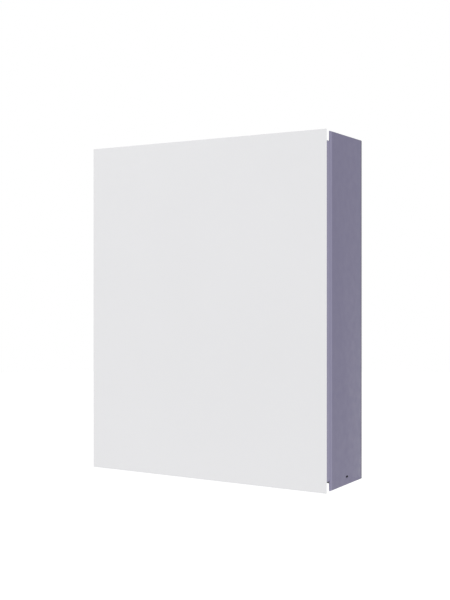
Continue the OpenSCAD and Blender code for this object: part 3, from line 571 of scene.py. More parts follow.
def pan_screws():
    shape = Shape()
    face = box_mm("control_board")[0].y
    for board, step, inset_x, inset_z in (("power_board", 2, 8, 10), ("control_board", 1, 7, 7)):
        lo, hi = box_mm(board)
        for k in range(step + 1):
            x = lo.x + inset_x + k * (hi.x - lo.x - 2 * inset_x) / step
            for z in (lo.z + inset_z, hi.z - inset_z):
                shape.screw((x, face, z), FRONT, 3.2, high=2.2)
    hooks = box_mm("hang_hooks")
    for s, t in CORNERS:
        at = (s * (hooks[1].x - 30) + t * 20, hooks[0].y + 3, 225)
        shape.turned(at, BACK, [(4, 0), (4, 0.5), (3.2, 1.4), (1.6, 1.9)], 20)
    bay_lo, bay_hi = box_mm("bay_plate")
    for x in (bay_lo.x + 7, bay_hi.x - 7):
        for z in (-250, 20):
            shape.screw((x, bay_lo.y, z), FRONT, 3.2, high=2.2)
    shape.piece("pan_screws", "bright_steel", replaces=["chassis_screws"])


BUFFER_Z = -210
PAD_BACK = -44


def rubber_parts():
    """Ribbed buffers behind the unit, and grooved pads under the modules."""
    lo, hi = box_mm("rubber_pads")
    shape = Shape()
    for s in SIGNS:
        shape.turned((s * 150, hi.y, BUFFER_Z), FRONT, [
            (9.6, 0), (10.6, 0.6), (11, 1.6), (11, 4), (9.8, 4.6), (9.8, 5.4), (11, 6),
            (11, 8.4), (9.8, 9), (9.8, 9.8), (11, 10.4), (11, 13.6), (8, 13.6),
        ], 40)
    for node in ("module_case_lower", "module_case_upper"):
        case_lo, case_hi = box_mm(node)
        base = case_lo.z
        for s in SIGNS:
            x = (case_lo.x + case_hi.x) / 2 + s * 140
            shape.block((x - 20, lo.y, base - 8), (x + 20, PAD_BACK, base - 5.2), 0.8)
            for k in range(5):
                x0 = x - 20 + k * 8.4
                shape.block((x0, lo.y, base - 6), (x0 + 6.4, PAD_BACK, base), 0.9)
    shape.piece("buffers_and_pads", "black_rubber", replaces=["rubber_pads"])


GLANDS = ((182, 6.5, 10), (220, 3.5, 7), (248, 3.5, 7))


def cable_glands():
    """Each gland is a bored stack: thread, lock nut, flange nut and a fluted dome nut."""
    shape = Shape()
    top = box_mm("bottom_plate")[0].z
    y = middle_mm("glands").y
    for x, bore, body in GLANDS:
        rings = [(bore, -9.5), (body - 1.2, -9.5)]
        for k in range(3):
            rings.append((body - 0.3, -9 + k * 1.1))
            rings.append((body - 0.9, -8.4 + k * 1.1))
        rings += [
            (body + 1.4, -6), (body + 2.6, -5.5, "hex"), (body + 2.6, -2, "hex"), (body + 1.4, -1.5),
            (body + 1.4, 0), (body + 3, 0.4, "hex"), (body + 3, 3, "hex"), (body + 1.6, 3.4),
            (body + 1.6, 3.8), (body + 1.9, 4.4, "fluted"), (body + 1.4, 10, "fluted"),
            (body + 0.4, 12.6), (body - 1.2, 15), (bore + 1.3, 16), (bore + 0.4, 15.8), (bore, 15),
        ]
        shape.turned((x, y, top), DOWN, rings, 48, bore=True)
    shape.piece("cable_glands", "black_plastic", replaces=["glands"])
    seals = Shape()
    for x, bore, body in GLANDS:
        seals.ring((x, y, top), DOWN, bore - 0.05, bore + 1.1, 15.9)
    seals.piece("gland_seals", "black_rubber")


def stud():
    shape = Shape()
    x, y = 246, -140
    top = box_mm("bottom_plate")[0].z
    shape.thread((x, y, top), DOWN, 3.0, -6.5, 14, 1.0)
    shape.nut((x, y, top + 1.5), UP, 5.8, 5)
    shape.nut((x, y, top), DOWN, 5.8, 4)
    shape.piece("earth_stud_and_nuts", "bright_steel", replaces=["earth_stud"])


def rocker_marks():
    """A raised ring and a raised bar on the two flats of the rocker."""
    pivot = Vector((170, -140, box_mm("bottom_plate")[0].z + 2))
    tilt = Matrix.Rotation(radians(9), 3, "Y")
    shape = Shape()
    for s in SIGNS:
        flat = Matrix.Rotation(radians(s * 5.3), 3, "Y")
        at = pivot + tilt @ Vector((s * 5.0, 0, -2.85))
        down = tilt @ flat @ Vector(DOWN)
        if s < 0:
            shape.ring(at, down, 1.5, 2.2, 0.25)
        else:
            half = Vector((0.4, 2.2, 0.25))
            shape.block(at - half, at + half, 0.1, tilt @ flat)
    shape.piece("rocker_marks", "white_plastic", "power_rocker")


def button():
    shape = Shape()
    lo, hi = box_mm("wake_button")
    mid = middle_mm("wake_button")
    long = hi.z - lo.z
    shape.turned((mid.x, mid.y, hi.z), DOWN, [
        (4.8, 0), (5, 0.3), (5, long - 0.9), (4.5, long - 0.2), (4.0, long), (3.6, long - 0.1),
        (2.6, long - 0.6), (1.0, long - 0.8),
    ], 40)
    shape.piece("wake_button_cap", "bright_steel", "wake_button", ["wake_button"])


def fan_rotor(side):
    """A hub with seven swept, twisted blades."""
    node = "fan_rotor_" + side
    lo, hi = box_mm(node)
    mid = middle_mm(node)
    shape = Shape()
    tall = hi.z - lo.z
    hub = 18.4
    shape.turned((mid.x, mid.y, lo.z), UP, [
        (15.4, 6), (15.4, 0.4), (16, 0), (17.8, 0), (hub, 0.8), (hub, tall - 1.6), (17.4, tall - 0.4),
        (15.8, tall), (8, tall), (7.6, tall - 0.5),
    ], 56)
    root, tip = hub - 0.9, 36.8
    blades, steps, across = 7, 6, 8
    for k in range(blades):
        start = 2 * pi * k / blades
        faces = []
        for i in range(steps + 1):
            r = root + (tip - root) * i / steps
            sweep = 0.30 * i / steps
            chord = 0.40 - 0.10 * i / steps
            pitch = 7.0 - 1.4 * i / steps
            rows = ([], [])
            for j in range(across + 1):
                t = 2 * j / across - 1
                a = start + sweep + chord * t
                x, y = mid.x + r * cos(a), mid.y + r * sin(a)
                z = mid.z - 1 + pitch * (t + 0.22 * cos(pi * t / 2))
                thick = 0.75 * sqrt(max(0.0, 1 - t * t)) + 0.12
                for row, sign in zip(rows, SIGNS):
                    row.append(Vector((x, y, z + sign * thick)))
            faces.append(rows[0] + list(reversed(rows[1])))
        shape.loft(faces)
    shape.piece("fan_blades_" + side, "black_plastic", "fan_" + side, [node])


def fan_labels():
    """Plain discs on the motors, and the four screws of each fan."""
    discs = Shape()
    screws = Shape()
    base = box_mm("fan_frames")[0].z
    disc = [(13, -0.2), (13, 0.1), (12.6, 0.2), (4, 0.2), (3.6, 0.1)]
    for side in SIDES:
        mid = middle_mm("fan_rotor_" + side)
        discs.turned((mid.x, mid.y, base), DOWN, disc, 40)
        for sx, sy in CORNERS:
            screws.screw((mid.x + sx * 35.8, mid.y + sy * 35.8, base), DOWN, 3.3, high=1.8)
    discs.piece("fan_motor_discs", "grey_plastic")
    screws.piece("fan_screws", "bright_steel")


# ---- Battery modules ----

CELLS = 14
CELL_PITCH = 27
POST_Z = 50
MODULES = ("lower", "upper")


def module_middle(which):
    mid = middle_mm("module_case_" + which)
    return mid.x, mid.z


def cell_x(which, i):
    return module_middle(which)[0] + (i - (CELLS - 1) / 2) * CELL_PITCH


def cells(which):
    """Film-wrapped cells, their metal lids with a scored vent, and the terminal blocks."""
    z = module_middle(which)[1]
    face = box_mm("cells_" + which)[0].y + 4
    back = box_mm("cells_" + which)[1].y
    films, lids, collars, vents = Shape(), Shape(), Shape(), Shape()
    for i in range(CELLS):
        x = cell_x(which, i)
        films.facing(x, z, [
            (back, 26.2, 148, 3), (face + 1.0, 26.4, 148, 3),
            (face + 0.2, 25.8, 147.4, 2.8), (face, 24.6, 146, 2.4),
        ])
        lids.facing(x, z, [
            (face + 0.2, 23.6, 144.6, 2.2), (face - 0.25, 23.6, 144.6, 2.2), (face - 0.4, 23, 144, 2),
        ])
        for s in SIGNS:
            at = z + s * POST_Z
            collars.facing(x, at, [
                (face - 0.3, 19, 19, 2.5), (face - 1.1, 19, 19, 2.5), (face - 1.4, 18, 18, 2),
            ])
            lids.facing(x, at, [(face, 14, 14, 2), (face - 3.7, 14, 14, 2), (face - 4, 13.4, 13.4, 1.8)])
        vents.facing(x, z, [
            (face - 0.3, 17, 10, 5), (face - 0.7, 17, 10, 5), (face - 0.75, 14.6, 7.6, 3.8),
            (face - 0.5, 14, 7, 3.5),
        ])
        filler = [(2.6, 0), (2.6, 0.4), (2.2, 0.5), (1.4, 0.5), (1.2, 0.3)]
        vents.turned((x, face - 0.3, z + 24), FRONT, filler, 16)
    films.piece("cell_wraps_" + which, "cell_film", replaces=["cells_" + which])
    lids.piece("cell_lids_" + which, "aluminium")
    collars.piece("cell_collars_" + which, "black_plastic")
    vents.piece("cell_vents_" + which, "bright_steel")


def link_bar(shape, x, y, z, w, h):
    """A bus bar with round ends and a raised fold in the middle, lofted along X."""
    stations = [(-w / 2, h - 5), (-w / 2 + 0.8, h - 2.4), (-w / 2 + 3, h - 0.3), (-w / 2 + 6, h)]
    stations += [(k * 1.4, h) for k in range(-4, 5)]
    stations += [(-sx, sh) for sx, sh in reversed(stations[:4])]
    loops = []
    for sx, sh in stations:
        lift = -2.2 * max(0.0, cos(pi * sx / 11.2)) if abs(sx) < 5.6 else 0
        e = 0.35
        ring = [(0, -sh / 2 + e), (0, sh / 2 - e), (-e, sh / 2), (-2 + e, sh / 2),
                (-2, sh / 2 - e), (-2, -sh / 2 + e), (-2 + e, -sh / 2), (-e, -sh / 2)]
        loops.append([Vector((x + sx, y + lift + py, z + pz)) for py, pz in ring])
    shape.loft(loops)


def busbars(which):
    shape = Shape()
    bolts = Shape()
    z = module_middle(which)[1]
    back = box_mm("busbars_" + which)[1].y
    front = back - 2
    for i in range(CELLS - 1):
        s = 1 if i % 2 == 0 else -1
        x = (cell_x(which, i) + cell_x(which, i + 1)) / 2
        link_bar(shape, x, back, z + s * POST_Z, 43, 17)
        for t in SIGNS:
            at = (x + t * CELL_PITCH / 2, front, z + s * POST_Z)
            shape.turned(at, FRONT, [(4.4, 0), (4.4, 0.2), (4, 0.35), (3.2, 0.3), (2.6, 0.1)], 24)
    for i in (0, CELLS - 1):
        x = cell_x(which, i)
        shape.facing(x, z - POST_Z, [(back, 18, 22, 3), (front + 0.3, 18, 22, 3), (front, 17.4, 21.4, 2.8)])
        bolts.ring((x, front, z - POST_Z), FRONT, 3, 6.4, 0.8)
        bolts.nut((x, front - 0.8, z - POST_Z), FRONT, 5.6, 4)
    shape.piece("bus_links_" + which, "copper", replaces=["busbars_" + which])
    bolts.piece("bus_bolts_" + which, "bright_steel")


def smd(bodies, ends, x, y, z, w, h, d):
    """A small surface-mount part with metal ends, lying along its longer side."""
    bodies.block((x - w / 2, y - d, z - h / 2), (x + w / 2, y, z + h / 2), 0.12)
    long_x = w >= h
    e = 0.22 * max(w, h)
    for s in SIGNS:
        cx = x + s * (w / 2 - e / 2) if long_x else x
        cz = z if long_x else z + s * (h / 2 - e / 2)
        ew, eh = (e, h) if long_x else (w, e)
        ends.block((cx - ew / 2 - 0.15, y - d - 0.05, cz - eh / 2 - 0.15),
                   (cx + ew / 2 + 0.15, y, cz + eh / 2 + 0.15), 0.08)


def chip(bodies, pins, x0, y, z0, w, h, d, pitch=1.6, sides="all"):
    """A chip package with gull-wing pins and a round mark in one corner."""
    bodies.block((x0 + 1.1, y - d, z0 + 1.1), (x0 + w - 1.1, y - 0.2, z0 + h - 1.1), 0.3)
    bodies.ring((x0 + 2.6, y - d, z0 + h - 2.6), FRONT, 0.35, 0.75, 0.06)
    for k in range(int((w - 3.2) / pitch)):
        x = x0 + 2.2 + k * pitch
        for za, zb in ((z0, z0 + 1.3), (z0 + h - 1.3, z0 + h)):
            pins.block((x - 0.35, y - 0.5, za), (x + 0.35, y, zb), 0.1)
    if sides == "all":
        for k in range(int((h - 3.2) / pitch)):
            z = z0 + 2.2 + k * pitch
            for xa, xb in ((x0, x0 + 1.3), (x0 + w - 1.3, x0 + w)):
                pins.block((xa, y - 0.5, z - 0.35), (xb, y, z + 0.35), 0.1)


def socket_box(shape, pins, x0, y, z0, w, h, d, n):
    """An open-fronted header with a row of pins."""
    t = 0.9
    shape.block((x0, y - d, z0), (x0 + w, y, z0 + t), 0.2)
    shape.block((x0, y - d, z0 + h - t), (x0 + w, y, z0 + h), 0.2)
    shape.block((x0 + 0.1, y - d + 0.1, z0 + 0.2), (x0 + t, y - 0.1, z0 + h - 0.2), 0.1)
    shape.block((x0 + w - t, y - d + 0.1, z0 + 0.2), (x0 + w - 0.1, y - 0.1, z0 + h - 0.2), 0.1)
    shape.block((x0 + 0.3, y - d * 0.35, z0 + 0.3), (x0 + w - 0.3, y - 0.1, z0 + h - 0.3), 0.1)
    for k in range(n):
        x = x0 + w * (k + 0.5) / n
        pins.block((x - 0.35, y - d + 1.2, z0 + h / 2 - 0.35), (x + 0.35, y, z0 + h / 2 + 0.35), 0.15)


BOARD_REACH = 168


def cell_boards():
    """The monitoring board of each module with its chips, passives and connector."""
    sheets, bodies, pins, headers = Shape(), Shape(), Shape(), Shape()
    y = box_mm("cell_boards")[1].y
    face = y - 1.6
    for which in MODULES:
        x, z = module_middle(which)
        sheets.facing(x, z, [(y, 348, 62, 3), (face + 0.1, 348, 62, 3), (face, 347.8, 61.8, 3)])
        for i in range(-3, 3):
            chip(bodies, pins, x + i * 52 + 20, face, z + 6, 12, 12, 2)
            for k in range(5):
                smd(bodies, pins, x + i * 52 + 22 + k * 6, face, z - 2, 1.6, 3.2, 0.8)
        for i in range(CELLS):
            cx = cell_x(which, i)
            if abs(cx - x) <= BOARD_REACH:
                for s in SIGNS:
                    smd(bodies, pins, cx, face, z + s * 26, 6.3, 3.2, 0.9)
                    smd(bodies, pins, cx + 7, face, z + s * 26, 3.2, 1.6, 0.8)
        socket_box(headers, pins, x + 143, face, z - 20, 24, 9, 6, 10)
    sheets.piece("cell_board_sheets", "board_green", replaces=["cell_boards"])
    bodies.piece("cell_board_chips", "black_plastic")
    pins.piece("cell_board_pins", "bright_steel")
    headers.piece("cell_board_headers", "white_plastic")


def cover_screws():
    shape = Shape()
    bolts = Shape()
    face = box_mm("module_cover_lower")[0].y
    case_face = box_mm("stack_frames")[0].y
    for which in MODULES:
        x, z = module_middle(which)
        for sx in SIGNS:
            for sz in (-1, 0, 1):
                shape.screw((x + sx * 191, face, z + sz * 75), FRONT, 3.2, "hex", 2.0)
            for sz in (-60, -20, 20, 60):
                bolts.screw((x + sx * 193.3, case_face, z + sz), FRONT, 2.8, "hex", 2.4)
    shape.piece("cover_screws", "bright_steel")
    bolts.piece("stack_bolts", "bright_steel")


SOCKET_X = (50, 90)
SOCKET_DROP = 56
PLUG_Y = -166
PORT_X = 108
PORT_Y = -156.6


def power_sockets():
    """Bored round sockets with a ribbed skirt, and the copper contact in each."""
    shape, contacts = Shape(), Shape()
    back = box_mm("module_case_lower")[0].y
    for which in MODULES:
        z = module_middle(which)[1] - SOCKET_DROP
        for x in SOCKET_X:
            shape.turned((x, back, z), FRONT, [
                (9.4, 2), (10, 2.6), (10, 12), (11.6, 12), (12, 12.4), (12, 13.6), (11.6, 14),
                (10, 14), (9.8, 14.6, "fluted"), (9.8, 18, "fluted"), (9.4, 18.8), (8.9, 19),
                (7.5, 19), (7, 18.5), (7, 13),
            ], 48)
            contacts.turned((x, back - 13, z), FRONT, [(3, 0), (3, 4), (2.4, 4.8), (1.2, 5)], 20)
    shape.piece("power_sockets", "orange_plastic", replaces=["module_sockets"])
    contacts.piece("socket_contacts", "copper")


PLUGS = (("upper", 0, UP), ("upper", 1, DOWN), ("lower", 0, UP), ("lower", 1, (1, 0, 0)))


def power_plugs():
    """Right-angle plugs: a round head, a neck in the socket and a ribbed barrel."""
    shape, latches = Shape(), Shape()
    for which, column, way in PLUGS:
        at = Vector((SOCKET_X[column], PLUG_Y, module_middle(which)[1] - SOCKET_DROP))
        shape.turned(at, FRONT, [
            (6.2, -6.8), (6.6, -6.4), (6.6, 0), (10.4, 0), (11, 0.5), (11, 2), (10.5, 2.3),
            (10.5, 2.8), (11, 3.1), (11, 4.2), (10.2, 5), (7.4, 5), (7.0, 4.6),
        ], 40)
        rings = [(4.6, 2), (6, 4), (6, 10.8)]
        for k in range(3):
            rings += [(5.4, 11.1 + k * 2), (5.4, 11.7 + k * 2), (6, 12 + k * 2), (6, 12.8 + k * 2)]
        rings += [(5.7, 17.6), (4.9, 18.2)]
        shape.turned(at, way, rings, 32)
        across = Vector(way).cross(Vector(FRONT)) * 2.4
        along = Vector(way) * 2.2
        a = at - across - along + Vector((0, -4.6, 0))
        b = at + across + along + Vector((0, -5.9, 0))
        lo = [min(p, q) for p, q in zip(a, b)]
        hi = [max(p, q) for p, q in zip(a, b)]
        latches.block(lo, hi, 0.5)
    shape.piece("power_plugs", "orange_plastic", replaces=["cable_plugs"])
    latches.piece("plug_latches", "black_plastic")


def data_plugs():
    """The data leads' plugs: a body, a springy tab and a boot over the lead."""
    shape, boots = Shape(), Shape()
    sockets = box_mm("data_sockets")
    y = box_mm("control_board")[0].y - 7.25
    boot = [(4.6, 0), (4.6, 4), (3.6, 5.4), (3.2, 8.6), (2.6, 9), (2.2, 9)]
    for k in (0, 1):
        x = sockets[0].x + 8.5 + k * 22
        base = sockets[0].z - 2
        shape.block((x - 5.6, y - 3.2, base + 4), (x + 5.6, y + 3.2, base + 15), 0.4)
        tab = Matrix.Rotation(radians(8), 3, "X")
        shape.block((x - 2.6, y - 4.6, base - 1), (x + 2.6, y - 3.7, base + 12), 0.25, tab)
        boots.turned((x, y, base + 4.4), DOWN, boot, 20)
    shape.piece("data_plugs", "clear_cover")
    boots.piece("data_plug_boots", "grey_plastic")


def port_contacts():
    """Contact springs in the modules' data ports and in the network sockets."""
    shape = Shape()
    for which in MODULES:
        z = module_middle(which)[1] + 40
        for k in range(4):
            x = PORT_X - 3.6 + k * 2.4
            shape.block((x - 0.3, PORT_Y, z + 1), (x + 0.3, PORT_Y + 0.5, z + 7.6), 0.1)
    lo, hi = box_mm("data_sockets")
    for i in range(3):
        for k in range(8):
            x = lo.x + 8.5 + i * 22 - 3.6 + k * 1.03
            tilt = Matrix.Rotation(radians(-14), 3, "X")
            shape.block((x - 0.2, hi.y - 5.4, lo.z + 4), (x + 0.2, hi.y - 5.0, lo.z + 13.5), 0.08, tilt)
    shape.piece("port_contacts", "brass_posts")
    shields = Shape()
    for i in range(3):
        x = lo.x + i * 22
        for k in (4.5, 12.5):
            shields.block((x + k - 1.1, lo.y - 0.35, lo.z + 8), (x + k + 1.1, lo.y + 0.2, lo.z + 14), 0.2)
        shields.block((x + 1, lo.y - 0.3, lo.z + 17.2), (x + 16, lo.y + 0.2, lo.z + 18.2), 0.15)
        shields.block((x + 0.6, lo.y - 0.6, lo.z - 0.6), (x + 16.4, lo.y + 1.4, lo.z + 0.2), 0.2)
    shields.piece("socket_shields", "bright_steel")


# ---- Inverter ----

BOARD_THICK = 1.6


def board_sheet(node, name, slot, corners):
    """A bare board with a tinned ring at each screw."""
    lo, hi = box_mm(node)
    face = hi.y - BOARD_THICK
    shape = Shape()
    x, z = middle_xz(lo, hi)
    w, h = hi.x - lo.x, hi.z - lo.z
    shape.facing(x, z, [(hi.y, w, h, 2), (face + 0.1, w, h, 2), (face, w - 0.2, h - 0.2, 2)])
    shape.piece(name, slot, replaces=[node])
    pads = Shape()
    for cx, cz in corners:
        pads.ring((cx, face, cz), FRONT, 3.3, 4.8, 0.08)
    pads.piece(name + "_pads", "bright_steel")


def inset_corners(lo, hi, inset):
    return list(product((lo.x + inset, hi.x - inset), (lo.z + inset, hi.z - inset)))


def board_post_x(lo):
    """The three columns of posts under the power board."""
    return [lo.x + 8 + k * 154 for k in range(3)]


def transistor_x():
    return [box_mm("transistors")[0].x + 8 + k * 36 for k in range(8)]


def power_electronics():
    lo, hi = box_mm("power_board")
    face = hi.y - BOARD_THICK
    x0, z0 = lo.x, lo.z + 4
    corners = [(x, z0 + dz) for x in board_post_x(lo) for dz in (6, 164)]
    board_sheet("power_board", "power_board_sheet", "board_green", corners)
    blocks, tips = Shape(), Shape()
    for k in range(4):
        x = x0 + 248 + k * 16
        blocks.block((x, face - 12, z0 - 1), (x + 12, face, z0 + 11), 0.7)
        blocks.block((x + 1, face - 9, z0 + 11), (x + 11, face, z0 + 13), 0.4)
        blocks.ring((x + 6, face - 12, z0 + 5), FRONT, 3.3, 4.3, 0.5)
        tips.screw((x + 6, face - 12.1, z0 + 5), FRONT, 3.1, "slot", 0.6)
    blocks.piece("power_terminals", "grey_plastic")
    tips.piece("power_terminal_screws", "bright_steel")
    bodies, ends = Shape(), Shape()
    for dz, count, start, pitch in ((26, 20, 14, 7), (100, 30, 14, 7), (108, 12, 190, 9), (34, 9, 190, 9)):
        for k in range(count):
            x = x0 + start + k * pitch + draw.uniform(-0.8, 0.8)
            size = draw.choice(((3.2, 1.6, 0.7), (1.6, 3.2, 0.8), (4.5, 3.2, 1.4), (2, 1.25, 0.6)))
            smd(bodies, ends, x, face, z0 + dz + draw.uniform(-1.5, 1.5), *size)
    for k in range(3):
        chip(bodies, ends, x0 + 30 + k * 66, face, z0 + 14, 14, 8, 1.8, 1.8, "two")
    for x in transistor_x():
        for dx in (-5.4, 0, 5.4):
            ends.turned((x + dx, face, z0 + 12), FRONT, [(1.3, 0), (1.1, 0.5), (0.5, 1.2)], 12)
    bodies.piece("power_board_chips", "black_plastic")
    ends.piece("power_board_solder", "bright_steel")


def chokes():
    """Ring cores wound with a single layer of wire, on moulded bases."""
    cores, wires, bases = Shape(), Shape(), Shape()
    lo, hi = box_mm("inductors")
    turns, steps = 24, 12
    radius, coil = 18, 8.7
    circle = [radians(t * 7.5) for t in range(48)]
    for k in range(3):
        x = lo.x + 28 + k * 66
        z = (lo.z + hi.z) / 2
        y = hi.y - 13
        bases.block((x - 14, hi.y - 3, z - 14), (x + 14, hi.y, z + 14), 0.8)
        ring = [(x + radius * cos(a), y, z + radius * sin(a)) for a in circle]
        cores.tube(ring, 7.4, 16, closed=True)
        path = [Vector((x - 5, hi.y - 3, z - 12))]
        for i in range(turns * steps + 1):
            around = radians(-75 + 330 * i / (turns * steps))
            phi = 2 * pi * i / steps
            r = radius + coil * cos(phi)
            deep = y - coil * sin(phi)
            path.append(Vector((x + r * cos(around), deep, z + r * sin(around))))
        path.append(Vector((x + 5, hi.y - 3, z - 12)))
        wires.tube(path, 1.15, 6)
    cores.piece("choke_cores", "film_yellow")
    wires.piece("choke_windings", "winding", replaces=["inductors"], smooth=80)
    bases.piece("choke_bases", "black_plastic")


def transformer():
    lo, hi = box_mm("transformer")
    x, z = middle_xz(lo, hi)
    core, coil = Shape(), Shape()
    core.block((lo.x, hi.y - 8, lo.z), (hi.x, hi.y, hi.z), 1.2)
    core.block((lo.x + 0.2, lo.y, z - 9), (hi.x - 0.2, lo.y + 8.4, z + 9), 0.8)
    for s in SIGNS:
        core.block((x + s * 20.6 - 6.2, lo.y + 8.2, z - 9), (x + s * 20.6 + 6.2, hi.y - 7.8, z + 9), 0.6)
    core.block((x - 14.2, lo.y + 8.6, z - 20), (x + 14.2, lo.y + 10.2, z + 20), 0.4)
    coil.facing(x, z, [
        (hi.y - 8, 26, 38, 5), (hi.y - 9, 27.4, 39.4, 5),
        (lo.y + 11, 27.4, 39.4, 5), (lo.y + 10, 26, 38, 5),
    ])
    for k in range(5):
        for s in SIGNS:
            px = x - 20 + k * 10
            core.block((px - 1, hi.y - 6, z + s * 23.6 - 1), (px + 1, hi.y - 1, z + s * 23.6 + 1), 0.4)
    core.piece("transformer_core", "black_plastic")
    coil.piece("transformer_coil", "transformer_tape", replaces=["transformer"])


def capacitors():
    """Sleeved cans with a crimped shoulder, a scored metal top and a pale stripe."""
    cans, tops, stripes = Shape(), Shape(), Shape()
    lo, hi = box_mm("capacitors")
    z = (lo.z + hi.z) / 2
    for k in range(5):
        x = lo.x + 12.5 + k * 31
        at = (x, hi.y, z)
        cans.turned(at, FRONT, [
            (11.4, 0), (12.3, 0.6), (12.5, 1.6), (12.5, 33.6), (12.2, 34.4), (11.7, 35), (12.2, 35.8),
            (12.5, 36.6), (12.5, 38.8), (12.1, 39.6), (11.2, 39.9), (10.6, 39.7), (10.5, 39.2),
        ], 48)
        tops.turned(at, FRONT, [
            (10.5, 38.6), (10.5, 39.5), (10.2, 39.6), (8.4, 39.6, "score"), (8.2, 39.4, "score"),
        ], 48)
        arc = [radians(200 + a * 4) for a in range(-4, 5)]
        for y0, y1 in ((3, 9), (11, 17), (19, 25), (27, 32)):
            outer = [(x + 12.6 * cos(a), z + 12.6 * sin(a)) for a in arc]
            inner = [(x + 12.3 * cos(a), z + 12.3 * sin(a)) for a in reversed(arc)]
            loops = [[Vector((px, hi.y - y, pz)) for px, pz in outer + inner] for y in (y0, y1)]
            stripes.loft(loops)
    cans.piece("capacitor_cans", "capacitor_sleeve", replaces=["capacitors"])
    tops.piece("capacitor_tops", "aluminium")
    stripes.piece("capacitor_stripes", "grey_plastic")


def boxed_parts():
    """Film capacitors with round corners, and relays with a lid seam."""
    films, relays = Shape(), Shape()
    lo, hi = box_mm("film_capacitors")
    for k in range(3):
        x = lo.x + 17 + k * 42
        z = (lo.z + hi.z) / 2
        films.facing(x, z, [
            (hi.y, 33, 17, 2), (hi.y - 0.6, 34, 18, 2), (lo.y + 2, 34, 18, 2),
            (lo.y + 0.6, 33, 17, 2), (lo.y, 31, 15, 2),
        ])
        films.facing(x, z, [(lo.y + 0.2, 26, 11, 1), (lo.y - 0.15, 25.6, 10.6, 1)])
    films.piece("film_capacitor_boxes", "film_yellow", replaces=["film_capacitors"])
    lo, hi = box_mm("relays")
    for k in range(4):
        x = lo.x + k * 36
        relays.block((x, hi.y - 4, lo.z), (x + 29, hi.y, hi.z), 0.5)
        relays.block((x + 0.5, lo.y, lo.z + 0.5), (x + 28.5, hi.y - 3.6, hi.z - 0.5), 0.9)
        relays.turned((x + 25, lo.y + 0.1, hi.z - 3), FRONT, [(1.1, 0), (1.1, 0.3), (0.6, 0.5)], 12)
        relays.block((x + 3, lo.y - 0.2, lo.z + 3), (x + 16, lo.y + 0.3, hi.z - 3), 0.12)
    relays.piece("relay_boxes", "black_plastic", replaces=["relays"])


def control_electronics():
    lo, hi = box_mm("control_board")
    x0, z0, face = lo.x, lo.z, lo.y
    corners = inset_corners(lo, hi, 7)
    board_sheet("control_board", "control_board_sheet", "board_blue", corners)
    bodies, pins, whites, cans = Shape(), Shape(), Shape(), Shape()
    for dx, dz, *form in (
        (30, 92, 28, 28, 2, 1.2), (76, 98, 18, 24, 3), (108, 92, 14, 14, 1.5, 1.2),
        (20, 48, 10, 8, 1.6, 1.3, "two"), (44, 48, 10, 8, 1.6, 1.3, "two"),
    ):
        chip(bodies, pins, x0 + dx, face, z0 + dz, *form)
    socket_box(bodies, pins, x0 + 30, face, z0 + 140, 34, 9, 8, 16)
    for k in range(4):
        x = x0 + 86 + k * 15
        whites.block((x, face - 9, z0 + 142), (x + 11, face, z0 + 150), 0.6)
        for j in range(3):
            whites.block((x + 1.6 + j * 3, face - 9.3, z0 + 143), (x + 3.2 + j * 3, face - 8, z0 + 149), 0.3)
    cans.turned((x0 + 124, face, z0 + 72), FRONT, [
        (9.4, 0), (10, 0.4), (10, 3.2), (9.6, 3.8), (8.8, 4), (8.4, 3.8), (8.2, 3.8),
    ], 48)
    cans.block((x0 + 121, face - 4.6, z0 + 60), (x0 + 127, face - 3.7, z0 + 74), 0.3)
    bodies.block((x0 + 116, face - 2.4, z0 + 58), (x0 + 132, face, z0 + 63.4), 0.5)
    for x, z in ((66, 100), (66, 112), (100, 110)):
        cans.facing(x0 + x, z0 + z, [
            (face, 5, 11, 2.4), (face - 3.2, 5, 11, 2.4), (face - 3.6, 4.4, 10.4, 2.1),
        ])
    for k in range(34):
        x = x0 + 14 + (k % 17) * 8 + draw.uniform(-1, 1)
        z = z0 + (84 if k < 17 else 130) + draw.uniform(-2, 2)
        size = draw.choice(((3.2, 1.6, 0.7), (1.6, 3.2, 0.8), (2, 1.25, 0.6)))
        smd(bodies, pins, x, face, z, *size)
    for k in range(12):
        smd(bodies, pins, x0 + 24 + k * 5.4, face, z0 + 30, 1.25, 2, 0.6)
    for k in range(3):
        whites.block((x0 + 96 + k * 7, face - 1.4, z0 + 20), (x0 + 99 + k * 7, face, z0 + 23), 0.4)
    bodies.piece("control_board_chips", "black_plastic", replaces=["control_chips"])
    pins.piece("control_board_pins", "bright_steel")
    whites.piece("control_board_sockets", "white_plastic")
    cans.piece("control_board_cans", "bright_steel")


def hex_posts():
    shape = Shape()
    lo, hi = box_mm("power_board")
    rows = [(x, z, 12) for x in board_post_x(lo) for z in (lo.z + 10, hi.z - 10)]
    lo, hi = box_mm("control_board")
    rows += [(x, z, 56) for x, z in inset_corners(lo, hi, 7)]
    for x, z, long in rows:
        shape.turned((x, hi.y, z), BACK, [
            (3.0, 0), (3.6, 0.5, "hex"), (3.6, long - 0.5, "hex"), (3.0, long),
        ])
    shape.piece("hex_posts", "brass_posts", replaces=["board_posts"])


def transistor_clips():
    """A screw and a spring washer on each power transistor."""
    shape = Shape()
    lo, hi = box_mm("transistors")
    for x in transistor_x():
        shape.ring((x, lo.y, hi.z - 5), FRONT, 1.5, 4, 0.5)
        shape.screw((x, lo.y - 0.5, hi.z - 5), FRONT, 2.8, high=1.6)
    shape.piece("transistor_screws", "bright_steel")


# ---- Wiring bay ----

